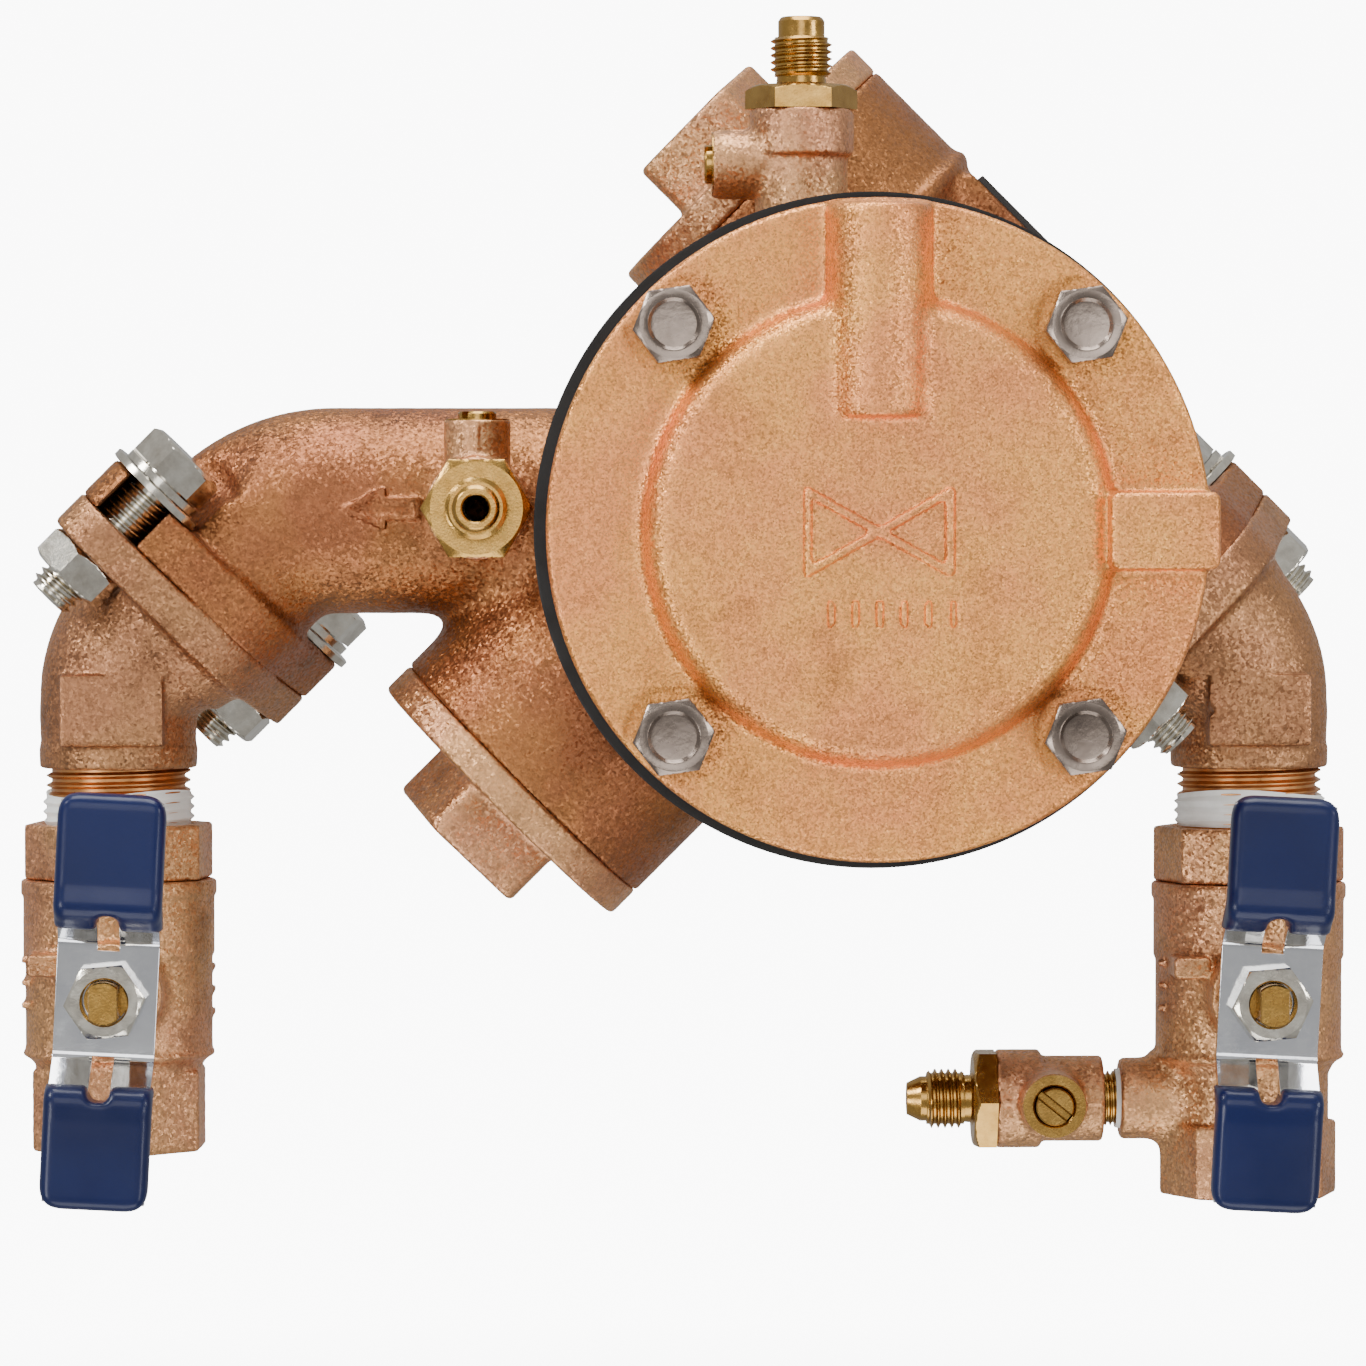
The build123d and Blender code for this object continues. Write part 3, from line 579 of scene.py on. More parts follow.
def machined(name, colour, dark, rough, marks=0.0, scale=260.0):
    """Bright metal with faint smears and, where marks is set, fine tool marks."""
    m = Nodes(bpy.data.materials.new(name))
    smear = m.spread(m.noise(scale, 4.0, 0.6), 0.35, 0.75, 0.0, 0.8)
    tint = m.mix(smear, linear(colour), linear(dark))
    shine = m.spread(m.noise(scale * 2.5, 3.0), 0.3, 0.7, rough * 0.8, rough * 1.25)
    m.bump(m.noise(scale * 9.0, 2.0), 0.00003 + marks * 0.00004, 0.35)
    return m.set(Base_Color=tint, Metallic=1.0, Roughness=shine).owner


def soft_stuff(name, colour, other, rough, scale=400.0, sheen=0.0, coat=0.0, dent=0.00004):
    """Rubber, vinyl or plastic: nearly even colour with small dents."""
    m = Nodes(bpy.data.materials.new(name))
    tint = m.mix(m.spread(m.noise(scale * 0.2, 3.0), 0.35, 0.7), linear(colour), linear(other))
    shine = m.spread(m.noise(scale * 0.6, 3.0), 0.3, 0.7, rough * 0.85, rough * 1.2)
    m.bump(m.noise(scale, 3.0, 0.55), dent, 0.5)
    m.set(Base_Color=tint, Roughness=shine, Specular_IOR_Level=0.28)
    return m.set(Coat_Weight=coat, Coat_Roughness=0.08, Sheen_Weight=sheen).owner


MATERIALS = {  # one for each slot of the record
    "cast_bronze": cast_metal("cast bronze", (158, 104, 62), (152, 95, 62), (90, 60, 35)),
    "cover_bronze": cast_metal("cover bronze", (234, 161, 88), (228, 148, 90), (166, 108, 62),
                               3200.0, 0.42),
    "brass": machined("machined brass", (186, 146, 78), (148, 107, 50), 0.24, 1.0),
    "nickel": machined("bright nickel", (224, 219, 206), (168, 158, 142), 0.16),
    "stainless": machined("stainless steel", (144, 130, 120), (90, 79, 71), 0.25, 2.0, 90.0),
    "chrome_plate": machined("chrome plate", (232, 233, 236), (206, 208, 214), 0.09, scale=120.0),
    "spring_steel": machined("spring steel", (170, 170, 172), (120, 120, 124), 0.3),
    "blue_vinyl": soft_stuff("blue vinyl", (7, 21, 66), (6, 17, 56), 0.34, 200.0, coat=0.12,
                             dent=0.00001),
    "black_rubber": soft_stuff("black rubber", (14, 13, 12), (24, 22, 20), 0.55),
    "red_rubber": soft_stuff("red rubber", (150, 52, 40), (132, 44, 34), 0.6),
    "ptfe": soft_stuff("white tape", (238, 238, 234), (222, 222, 216), 0.55, 900.0, sheen=0.2,
                       dent=0.00012),
    "acetal": soft_stuff("acetal", (225, 222, 212), (214, 210, 198), 0.4),
    "plate_black": soft_stuff("black plate", (40, 38, 36), (52, 48, 44), 0.4),
}
# Lighter copies of the cast bronze for the elbows, caps, valve parts and cocks, against the darker body: partly a
# paler finish of these castings, partly painted light that brightens the lower and side-facing pieces.
ELBOW_BRONZE = cast_metal("elbow cast bronze", (174, 126, 86), (168, 117, 83), (104, 71, 47))
PALE_BRONZE = cast_metal("pale cast bronze", (206, 154, 106), (200, 142, 104), (124, 86, 54))
THREADED = machined("threaded bronze", (206, 150, 96), (170, 112, 66), 0.34)


# --- castings


def drill_cock(casting, axes, depth):
    casting.bore(axes, (-20.0, -12.3, 5.25), (-depth, -19.0, 2.4))


def union_face(casting, seam):
    """The body's two-bolt flange with its swing-out bolt slots and spot faces."""
    hole_r, head_r = 5.05, 10.6
    casting.add(oval(seam, 0, 9.0), 2.2)
    for x, y in BOLT_SPOTS:
        at, open_end = seam.moved(x, y), y + math.copysign(20, y)
        casting.cut(bar(at, 9.0, 20, head_r, 0.5), 0.6)
        if at.origin[2] > seam.origin[2]:
            casting.cut(bar(at, 19.0, 46, head_r, 0.0, 2.0), 3.0)
        casting.cut(block(seam, (x - hole_r, x + hole_r), sorted((y, open_end)), (-2, 10), 0.3), 0.4)
        casting.cut(bar(at, -2, 32, hole_r), 0.3)


def arrow_points(tip_x, tail_x, z):
    """The outline of a flow arrow in the XZ plane, pointing to -X."""
    head_x = tip_x + 6.9
    upper = [(tip_x, z), (head_x, z + 3.4), (head_x, z + 1.5), (tail_x, z + 1.9)]
    return upper + [(x, 2 * z - h) for x, h in reversed(upper[1:])]


def main_casting(step):
    """The body: two check chambers, outlet tube, relief bowl, spout, bosses and flanges."""
    body = Casting(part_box("main_body"), step)
    inlet, outlet = SEAMS["inlet"], SEAMS["outlet"]
    second = CHECKS[2][0]
    body.stack(inlet, (0, 0, 60, TUBE_R), (5.0, 46, 80, CHAMBER_R, 2.0),
               (0, 76, 86, CHAMBER_R, 0.0, RIM_R), (3.0, 85, CHECKS[1][1], RIM_R, 0.6))
    body.add(ball(second, 25.5), 5.0)
    body.stack(second, (3.0, 0, 40, CHAMBER_R), (3.0, 32, 44, CHAMBER_R, 0.0, RIM_R),
               (3.0, 43, CHECKS[2][1], RIM_R, 0.6))
    tube = ((-95, 0, TUBE_Z), TUBE_CORNER, tuple(outlet.origin))
    body.add(bend(*tube, TUBE_BEND_R, ((0, TUBE_R), (1, TUBE_R))), 6.0)
    body.add(block(inlet, (10, 28), (-15, 15), (49, 83), 0.8), 3.0)
    body.stack(RELIEF, (6.0, 12, 34, 30, 0.0, 44.0), (4.0, 30, 51, 44.0),
               (3.0, 50, 58, BOWL_R, 0.5))
    for at in COVER_BOLTS:
        body.add(bar(at, 42, 51, 8.5, 0.5), 2.5)
    spout = upright(RELIEF.origin[0], -33.0, 74.0)
    body.add(bar(spout, 0, 40, 13.0, 1.0), 4.0)
    for n, start in ((2, -35.3), (3, -40.0), (4, -35.3)):
        body.add(bar(COCKS[n], start, -13.3, 7.6, 0.9), 3.5)
    for seam in (inlet, outlet):
        union_face(body, seam)
    face = facing((0, -TUBE_R, 0))
    body.add(stroke(face, arrow_points(-168.4, -155.1, 128.4), -3.0, 0.75, 0.9), 0.5)
    bore_main(body, inlet, outlet, second, spout)
    body.roughen(0.012, 11)
    return body


def bore_main(body, inlet, outlet, second, spout):
    """Waterways, relief chamber, tapped holes and pin holes of the body."""
    for axes, end, seat, way in ((inlet, CHECKS[1][1], 40, 12.0), (second, CHECKS[2][1], 44, 13.0)):
        wide = 20.0 if axes is inlet else CHAMBER_R
        body.bore(axes, (-3, seat, way), (seat, seat + 6, 14.6), (seat + 6, end + 3, wide),
                  (end - 20, end + 3, 25.6))
    past = outlet.world((0, 0, -3))
    body.cut(bend((-110, 0, TUBE_Z), TUBE_CORNER, past, TUBE_BEND_R, ((0, 13.0), (1, 13.0))))
    body.bore(RELIEF, (47, 61, 37.0), (42, 48, 12.1), (28, 42, 14.0), (18, 28, 3.1))
    body.bore(spout, (-3, 45, 8.5))
    body.bore(RELIEF.moved(-8, 22), (0, 48, 4.5))
    for at in COVER_BOLTS:
        body.bore(at, (44, 61, 4.1))
    for n, depth in ((2, 30.0), (3, 43.7), (4, 30.0)):
        drill_cock(body, COCKS[n], depth)
    for along in (52.5, 78.0):
        body.bore(Axes(inlet.world((24, 0, along)), inlet.x, inlet.y), (0, 8, 1.3))


def elbow_casting(side, step):
    """An elbow: bell to the union flange, wrench pad, bolt holes and the gasket's recess."""
    seam, leg_x = SEAMS[side], VALVES[side].origin[0]
    away = 1 if side == "inlet" else -1
    cast = Casting(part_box(f"{side}_elbow"), step)
    route = ((leg_x, 0, 80.5), (leg_x, 0, ELBOW_CORNER_Z), tuple(seam.origin))
    wall = ((0, 14.2), (0.3, 14.7), (0.55, 16.6), (0.8, 18.8), (1.0, 20.0))
    cast.add(bend(*route, 20.0, wall))
    cast.add(bar(upright(leg_x), 80.5, 84.0, 14.3, 0.4), 1.5)
    cast.add(oval(seam, -7.3, 0), 2.0)
    pad = upright(leg_x + away * 0.35)
    cast.add(block(pad, (-9.5, 9.5), (-16.3, -4.0), (84.6, 97.7), 0.5), 0.9)
    for x, y in BOLT_SPOTS:
        cast.cut(bar(seam.moved(x, y), -19.3, -7.3, 8.6, 0.5), 0.5)
        cast.cut(bar(seam.moved(x, y), -9, 3, 5.1))
    cast.cut(bar(seam, -1.6, 3, 17.4))
    cast.add(bar(seam, -3.0, 0, 13.4))
    cast.cut(bend((leg_x, 0, 50), (leg_x, 0, ELBOW_CORNER_Z), seam.world((0, 0, 3)), 20.0,
                  ((0, 10.4), (1, 10.4))))
    cast.roughen(0.012, 23 + away)
    return cast


def cap_casting(number, step):
    """A check cap: flange, plug, spring guide and the square boss for a wrench."""
    axes, end = CHECKS[number]
    cast = Casting(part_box(f"check_{number}_cap"), step)
    cast.add(bar(axes, end, end + 6.3, 29.7, 0.8))
    turn = math.radians(-25.3)
    boss = Axes(axes.origin, axes.z, math.cos(turn) * axes.x + math.sin(turn) * axes.y)
    half = 23.5 / 2
    cast.add(block(boss, (-half, half), (-half, half), (end, end + 17.9), 1.1, 3.5), 1.6)
    guide = (end - 20, end - 4, 4.1)
    cast.stack(axes, (0, end - 9, end + 1, 25.4), (0, end - 17, end - 8, 9.0))
    cast.bore(axes, guide, (end - 5.3, end - 2.7, 27))
    cast.add(bar(axes, end - 7, end + 1, 23.5))
    cast.bore(axes, guide)
    cast.roughen(0.012, 31 + number)
    return cast


def cover_casting(step):
    """The relief cover: rim, soft-edged dome, channel boss, lug and a raised valve symbol."""
    cast = Casting(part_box("relief_cover"), step)
    cast.stack(RELIEF, (0, 61.0, 67.0, BOWL_R, 1.1), (3.0, 62.0, 70.0, 43.0, 0.0, 39.5),
               (2.4, 64.0, 74.0, 40.9, 4.2))
    channel = upright(RELIEF.origin[0], -70.0, RELIEF.origin[2])
    cast.add(bar(channel, 20.0, 57.3, 8.8, 1.2), 2.0)
    cast.add(block(RELIEF, (-8.8, 8.8), (20.0, 57.3), (62, 70), 0.8), 1.5)
    cast.add(block(RELIEF, (40, 59.4), (-6.8, 6.8), (61, 77), 1.2, 1.5), 1.4)
    for at in COVER_BOLTS:
        cast.cut(bar(at, 66.8, 78, 8.6, 0.6), 0.5)
    symbol = ((-12.8, -7.2), (-12.8, 6.8), (12.1, -7.2), (12.1, 6.8))
    cast.add(stroke(RELIEF, symbol, 72.0, 75.2, 1.4), 0.4)
    for k in range(6):
        pip = RELIEF.moved(-8.8 + 4.3 * k, -14.6)
        cast.add(stroke(pip, ((0, -1.7), (0, 1.7)), 72.0, 75.0, 1.1, False), 0.3)
    for x in (-22.4, 22.4):
        dash = RELIEF.moved(x, 48.2)
        cast.add(stroke(dash, ((-1.6, 0), (1.6, 0)), 66.0, 67.4, 1.1, False), 0.5)
    cast.cut(block(RELIEF, (-70, 70), (-70, 70), (40, 61), 0.0))
    cast.cut(bar(RELIEF, 58, 70.8, 37.0, 1.0), 1.0)
    for at in COVER_BOLTS:
        cast.bore(at, (58, 70, 4.1))
    cast.roughen(0.01, 41)
    return cast


def valve_casting(side, step):
    """A ball valve's body: octagon foot, neck, barrel, ring, stem boss, stop and flank marks."""
    up = VALVES[side]
    foot, top, turn = (-38.6, -24.8, 4.0) if side == "inlet" else (-30.5, -15.2, 20.0)
    front = facing(up.origin)
    cast = Casting(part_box(f"{side}_valve_body"), step)
    cast.add(bar(up, foot + 4, -11.0, 15.0))
    cast.add(octagon(up, foot, top, 31.0, turn, 0.7))
    cast.stack(up, (1.5, -15.0, -12.5, 15.0, 0.0, 17.4), (1.5, -12.6, 6.0, 17.4),
               (0.8, 6.0, 16.8, 17.8, 0.4), (0.5, 16.8, 20.0, 18.2, 0.7))
    cast.add(bar(front, 0, 24.5, 9.5, 0.8), 2.0)
    cast.add(block(front, (-15.8, -9.0), (3.0, 7.0), (8, 19.0), 0.7), 1.2)
    for flank in (-1, 1):
        panel = Axes(up.origin, (flank, 0, 0), (0, -1, 0))
        for k in range(3):
            mark = panel.moved(flank * -4.0, 1.0 + 4.2 * (k - 1))
            cast.add(stroke(mark, ((-2.2, 0), (2.2, 0)), 15.0, 17.7, 1.2, False), 0.5)
    if side == "inlet":
        cast.add(bar(COCKS[1], -33, -13.3, 7.6, 0.9), 3.0)
    cast.bore(up, (foot - 3, foot + 15, 13.0, 0.0, 12.6), (foot - 0.5, foot + 1.4, 14.4, 0.0, 12.6),
              (foot + 14.5, -11.5, 9.5), (-11.5, 11.5, 14.0), (11.5, 23, 15.0))
    cast.bore(front, (10, 16.4, 6.2), (15, 21, 4.1), (20, 27, 7.0))
    if side == "inlet":
        drill_cock(cast, COCKS[1], 30.0)
    cast.roughen(0.012, 53 + len(side))
    return cast


def retainer_casting(side, step):
    """The octagonal end piece screwed into the top of a ball valve."""
    up = VALVES[side]
    turn = 40.0 if side == "inlet" else 15.0
    cast = Casting(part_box(f"{side}_valve_retainer"), step)
    cast.add(octagon(up, 20.1, 30.4, 33.0, turn, 0.6))
    cast.add(bar(up, 11.5, 20.6, 14.95))
    cast.bore(up, (10, 17, 9.5), (16.4, 33, 13.35), (29.2, 31, 13.35, 0.0, 15.2))
    cast.roughen(0.01, 61 + len(side))
    return cast


def cock_casting(number, step):
    """A test cock's body: barrel, front collar, stem boss and parting line."""
    axes = COCKS[number]
    stem = Axes(axes.origin, axes.x, axes.y)
    cast = Casting(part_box(f"test_cock_{number}_body"), step)
    cast.stack(axes, (0, -10.1, 2.5, 8.0, 0.7), (1.2, 1.6, 9.9, 9.2, 0.6))
    cast.add(bar(stem, 0, 16.0, 6.0, 0.4), 1.8)
    for across, along in (((-2.0, 15.0), (-6.3, 6.3)), ((-9.5, 9.5), (2.4, 9.0)),
                          ((-8.35, 8.35), (-9.5, 2.0))):
        cast.add(block(axes, across, (-0.35, 0.35), along, 0.2), 0.4)
    cast.bore(axes, (-6.2, 13.0, 6.2), (-12.0, -6.0, 2.4))
    cast.bore(stem, (0, 19.0, 4.2))
    cast.roughen(0.01, 70 + number)
    return cast


def strap(axes, points):
    """A bent strip: points in local x (along) and y (outward), its width on local z."""
    half_t, half_w, edge = 3.0, 10.05, 2.5

    def distance(x, y, z):
        out = 1e3
        for pair in zip(points[:-1], points[1:]):
            out = soft_min(out, to_segment(x, y, *pair), 1.5)
        return rounded(out - half_t + edge, np.abs(z) - half_w + edge, edge)

    ends = [(x + dx, y + dy, z) for x, y in points
            for dx, dy, z in product((-half_t, half_t), (-half_t, half_t), (-half_w, half_w))]
    return axes, ends, distance


def grip_casting(side, step):
    """The dipped vinyl on both arms of a handle, fat and rounded over the metal."""
    handle = handle_axes(side)
    outward = Axes(handle.origin, handle.y, handle.x)
    cast = Casting(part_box(f"{side}_valve_grips"), step, 2.0)
    for ends, path in (((4.0, 38.2), ((11.0, 0.0), (18.0, 9.0), (35.4, 9.0))),
                       ((-37.6, -6.0), ((-11.0, 0.0), (-18.0, 9.0), (-34.8, 9.0)))):
        arm = Casting(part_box(f"{side}_valve_grips"), step, 2.0)
        arm.add(strap(handle, path))
        arm.keep(block(outward, ends, (-10.3, 10.3), (-6, 14), 0.4, 5.0), 1.6)
        cast.field = np.minimum(cast.field, arm.field)
    cast.cut(block(outward, (-15.0, 13.0), (-14, 14), (-12, 20), 0.2), 0.9)
    for ends in ((8.7, 15.8), (-17.7, -10.0)):
        cast.cut(block(outward, ends, (-2.0, 2.0), (-8, 20), 0.3, 1.6), 1.2)
    return cast


def handle_axes(side):
    """A handle's own frame: x up the handle, y towards the viewer, z across it."""
    lean = math.radians(3.0)
    up = np.array((math.sin(lean), 0, math.cos(lean)))
    return Axes(VALVES[side].origin - np.array((0, 34.0, 0)), np.cross(up, (0, -1, 0)), up)


# --- turned shapes


def turned(axes, profile, flats=None, turn=0.0, segments=96, bore=None):
    """A turned solid from (height, radius) rows, or a hexagon for rows of two when flats is given."""
    start, sixth = math.radians(turn), math.pi / 3
    angles = start + 2 * math.pi * np.arange(segments) / segments
    local = (angles - start + sixth / 2) % sixth - sixth / 2
    rows = list(profile)
    if bore:
        rows += [(rows[-1][0], bore + 0.3, 0), (rows[-1][0] - 0.3, bore, 0)]
        rows += [(rows[0][0], bore, 0), rows[0]]
    rings = []
    for row in rows:
        reach = np.full(segments, float(row[1]))
        if flats and len(row) == 2:
            reach = np.minimum(reach, flats / 2 / np.cos(sixth / 2 - np.abs(local)))
        ring = [reach * np.cos(angles), reach * np.sin(angles), np.full(segments, row[0])]
        rings.append(axes.world(np.stack(ring, 1)))
    return rings_to_mesh(rings, not bore, not bore)


def hexagon(axes, z0, z1, flats, turn, below=(), above=(), both_ends=False, bore=None):
    """A hexagon whose corners are turned off at 30 degrees, between other rows of its profile."""
    corner, face = flats / math.sqrt(3), flats * 0.475
    cone = [(0, face)] + [((r - face) * 0.55, r) for r in np.linspace(flats * 0.48, corner, 6)]
    low = [(z0 + drop, r) for drop, r in cone] if both_ends else [(z0, corner)]
    high = [(z1 - drop, r) for drop, r in cone[::-1]]
    return turned(axes, [*below, *low, *high, *above], flats, turn, bore=bore)


# One pitch of a thread: share of the pitch, share of its height.
THREAD = ((0.0, 0.0), (0.14, 0.0), (0.44, 1.0), (0.56, 1.0), (0.86, 0.0))


def thread_mesh(axes, z0, z1, crest, pitch, depth, inner=0.0, segments=64):
    """A rod with a helical thread that runs out at both ends, or a sleeve where inner is given."""
    turns = int(math.ceil((z1 - z0) / pitch)) + 2
    shares, heights = np.array([(k + f, h) for k in range(turns) for f, h in THREAD]).T
    rows, per = len(shares), len(THREAD)
    verts = []
    for i in range(segments):
        z = np.clip(z0 + pitch * (shares - 1.5 + i / segments), z0, z1)
        fade = np.clip((z - z0) / (0.7 * pitch), 0, 1) * np.clip((z1 - z) / (0.5 * pitch), 0, 1)
        r = crest - depth + depth * heights * fade
        angle = 2 * math.pi * i / segments
        verts.append(np.stack([r * math.cos(angle), r * math.sin(angle), z], 1))
    verts = axes.world(np.concatenate(verts))
    faces = []
    for i in range(segments):
        j, shift = (i + 1, 0) if i + 1 < segments else (0, per)
        for m in range(rows - 1 - shift):
            a, b = i * rows + m, j * rows + m + shift
            faces.append((a, b, b + 1, a + 1))
    low = list(range(0, segments * rows, rows))
    high = [i + rows - 1 for i in low]
    if not inner:
        return verts, faces + [tuple(low[::-1]), tuple(high)]
    base = len(verts)
    bores = [axes.world(circle(z, inner, segments)) for z in (z0, z1)]
    verts = np.concatenate([verts, *bores])
    for i in range(segments):
        j = (i + 1) % segments
        a, b, c, d = base + i, base + j, base + segments + j, base + segments + i
        faces += [(low[j], low[i], a, b), (b, a, d, c), (c, d, high[i], high[j])]
    return verts, faces


# --- pieces


def build_castings():
    """Every cast or dipped piece, from the large body down to the test cocks."""
    fine = 0.6
    small = 0.45
    cast_piece("body_casting", main_casting(fine), "main_body")
    cast_piece("cover_casting", cover_casting(0.6), "relief_cover")
    for n in CHECKS:
        cast_piece(f"cap_{n}_casting", cap_casting(n, small), f"check_{n}_cap", PALE_BRONZE)
    for side in VALVES:
        for word, make, metal in (("elbow", elbow_casting, ELBOW_BRONZE),
                                  ("valve_body", valve_casting, PALE_BRONZE),
                                  ("valve_retainer", retainer_casting, PALE_BRONZE)):
            node = f"{side}_{word}"
            cast_piece(f"{node}_casting", make(side, small), node, metal)
        node = f"{side}_valve_grips"
        cast_piece(f"{node}_dipped", grip_casting(side, small), node, crease=0)
    tiny = 0.32
    for n in COCKS:
        node = f"test_cock_{n}_body"
        cast_piece(f"{node}_casting", cock_casting(n, tiny), node, PALE_BRONZE)


def stand_in(name, mesh, node, crease, material=None):
    """A piece that stands for a CAD node, with its slot and body."""
    slot = SLOT_OF[node]
    piece = place(name, mesh, BODY_OF[node], material or MATERIALS[slot], crease)
    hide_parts(node)
    return piece


def own(name, shape, node, crease=24.0):
    """A generated stand-in, from points in millimetres and faces."""
    stand_in(name, mesh_of(name, *shape), node, crease)


def build_unions():
    """Washers, bolts and nuts of the two unions, with real threads where they show."""
    flats, locks, heads, nuts = [], [], [], []
    for seam in SEAMS.values():
        for x, y in BOLT_SPOTS:
            at = seam.moved(x, y)
            flats.append(turned(at, [(9.0, 9.6), (9.15, 10.0), (10.4, 10.0), (10.6, 9.7)]))
            locks.append(split_ring(at, 10.6, 12.6, 4.9, 8.2))
            heads.append(hexagon(at, 12.6, 18.4, 14.3, 12))
            heads.append(thread_mesh(at, -18.2, 9.0, 4.76, 1.5875, 0.85))
            heads.append(turned(at, [(8.9, 4.7), (12.7, 4.7)], segments=48))
            nuts.append(hexagon(at, -13.7, -7.3, 14.3, 20, both_ends=True))
    own("union_flat_washers_turned", joined(flats), "union_flat_washers")
    own("union_lock_washers_split", joined(locks), "union_lock_washers")
    own("union_bolts_threaded", joined(heads), "union_bolts")
    own("union_nuts_hex", joined(nuts), "union_nuts")


def split_ring(axes, z0, z1, inner, outer):
    """A spring lock washer: a square-section ring, cut and slightly sprung."""
    rings = []
    for angle in np.linspace(math.radians(6), math.radians(354), 90):
        lift = 0.25 * (angle - math.pi) / math.pi
        c, s = math.cos(angle), math.sin(angle)
        section = [(inner, z0 + 0.3), (outer, z0 + 0.3), (outer, z1 - 0.3), (inner, z1 - 0.3)]
        rings.append(axes.world([(r * c, r * s, z + lift) for r, z in section]))
    return rings_to_mesh(rings)


def build_threads():
    """The elbows' pipe threads and the wound white tape below them."""
    tape = []
    rng = np.random.default_rng(5)
    for count, axes in enumerate(VALVES.values()):
        foot = upright(axes.origin[0])
        extra(f"pipe_thread_{count}", thread_mesh(foot, 56.0, 81.4, 13.4, PIPE_PITCH, 1.0, 10.4, 96),
              THREADED)
        verts, faces = thread_mesh(foot, 69.2, 75.6, 14.05, PIPE_PITCH, 0.6, 12.4, 120)
        angle = np.arctan2(verts[:, 1], verts[:, 0] - foot.origin[0])
        swell = sum(rng.normal(0, 0.05) * np.sin(k * angle + rng.uniform(0, 6)) for k in range(3, 14))
        outward = np.stack([np.cos(angle), np.sin(angle), 0 * angle], 1)
        ragged = np.clip(verts[:, 2] - 73.5, 0, 2) * 0.35
        verts = verts + outward * swell[:, None]
        verts[:, 2] += ragged * np.sin(2 * angle + rng.uniform(0, 6))
        tape.append((verts, faces))
    own("thread_tape_wound", joined(tape), "thread_tape", 60.0)


def build_relief_hardware():
    """Cover bolts with dished heads, and the rubber edge of the diaphragm."""
    heads = []
    dish = ((72.2, 4.9, 0), (72.1, 4.6, 0), (71.55, 4.0, 0), (71.5, 3.6, 0))
    for at in COVER_BOLTS:
        heads.append(hexagon(at, 67.0, 72.2, 12.7, 8, above=dish))
        heads.append(turned(at, [(47.0, 3.9), (67.1, 3.9)], segments=32))
    own("relief_cover_bolts_hex", joined(heads), "relief_cover_bolts")
    shift = RELIEF.moved(-0.9)
    rim = [(58.0, 59.5), (58.2, 59.9), (60.8, 59.9), (61.0, 59.4)]
    centre = [(61.0, 3.05), (58.0, 3.05)]
    rings = [shift.world(circle(z, r, 160)) for z, r in rim]
    rings += [RELIEF.world(circle(z, r, 160)) for z, r in centre]
    own("relief_diaphragm_rubber", rings_to_mesh(rings + [rings[0]], False, False),
        "relief_diaphragm")


def circle(z, radius, segments):
    angles = 2 * math.pi * np.arange(segments) / segments
    return np.stack([radius * np.cos(angles), radius * np.sin(angles), np.full(segments, z)], 1)


def build_cocks():
    """Flare fittings with their threads, threaded nipples and slotted plugs."""
    fittings, faces = [], []
    for n, axes in COCKS.items():
        turn = 30 if n == 4 else 0
        fittings.append(hexagon(axes, 9.9, 14.2, 17.5, turn, bore=4.3))
        neck = [(6.5, 6.1), (9.95, 6.1), (9.96, 4.6), (14.1, 5.3), (14.6, 4.5), (16.0, 4.4),
                (22.6, 4.4), (22.9, 4.2)]
        neck += [(24.0, 4.2), (26.5, 3.0)] if n == 1 else [(25.7, 4.2), (26.3, 3.8), (26.5, 3.5)]
        fittings.append(turned(axes, neck, segments=64, bore=2.4))
        fittings.append(thread_mesh(axes, 15.8, 22.8, 5.55, 1.27, 0.75, 4.2))
        extra(f"cock_{n}_nipple", thread_mesh(axes, -19.0, -9.6, 5.14, 0.94, 0.6, 2.4),
              MATERIALS["brass"])
        stem = Axes(axes.origin, axes.x, axes.y)
        faces.append(turned(stem, [(15.6, 5.85), (16.1, 5.8)], bore=3.75))
        own(f"cock_{n}_plug_turned", plug_shape(axes), f"test_cock_{n}_plug")
    own("flare_fittings_turned", joined(fittings), "test_cock_fittings")
    extra("cock_boss_faces", joined(faces), MATERIALS["brass"])
    extra("cock_1_sealant", turned(COCKS[1], [(-13.6, 5.7), (-12.5, 5.5)], bore=4.6),
          MATERIALS["ptfe"])


def plug_shape(axes):
    """The slotted stem of a test cock and its bored ball."""
    lean = math.radians(39)
    stem = Axes(axes.origin, axes.x, axes.y)
    bulge = [(5.3 * math.sin(a), 5.3 * math.cos(a)) for a in np.linspace(-1, 1, 15)]
    lobes = [turned(axes, bulge, segments=48, bore=2.4),
             turned(stem, [(4.4, 3.5), (15.0, 3.5)], segments=48)]
    for side in (-1, 1):
        half = Axes(stem.origin, stem.z, math.cos(lean) * stem.x - math.sin(lean) * stem.y)
        rings = []
        for z, chord, reach in ((14.8, 0.5, 3.5), (17.1, 0.7, 3.5), (17.45, 0.85, 3.25)):
            angles = np.linspace(-1, 1, 25) * math.acos(chord / reach)
            rings.append(half.world([(side * reach * math.cos(a), reach * math.sin(a), z)
                                     for a in angles]))
        lobes.append(rings_to_mesh(rings))
    return joined(lobes)


def build_springs():
    """The springs of the two checks, as copies of their CAD coils."""
    for n, (axes, _) in CHECKS.items():
        node = f"check_{n}_spring"
        mesh = NODES[node].data.copy()
        height = axes.local(*millimetres([v.co for v in mesh.vertices]).T)[2]
        top, length = height.max(), np.ptp(height)
        piece = stand_in(f"{node}_coil", mesh, node, 35.0)
        (axes.world((0, 0, top)) * MM).tolist()
        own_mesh(piece)


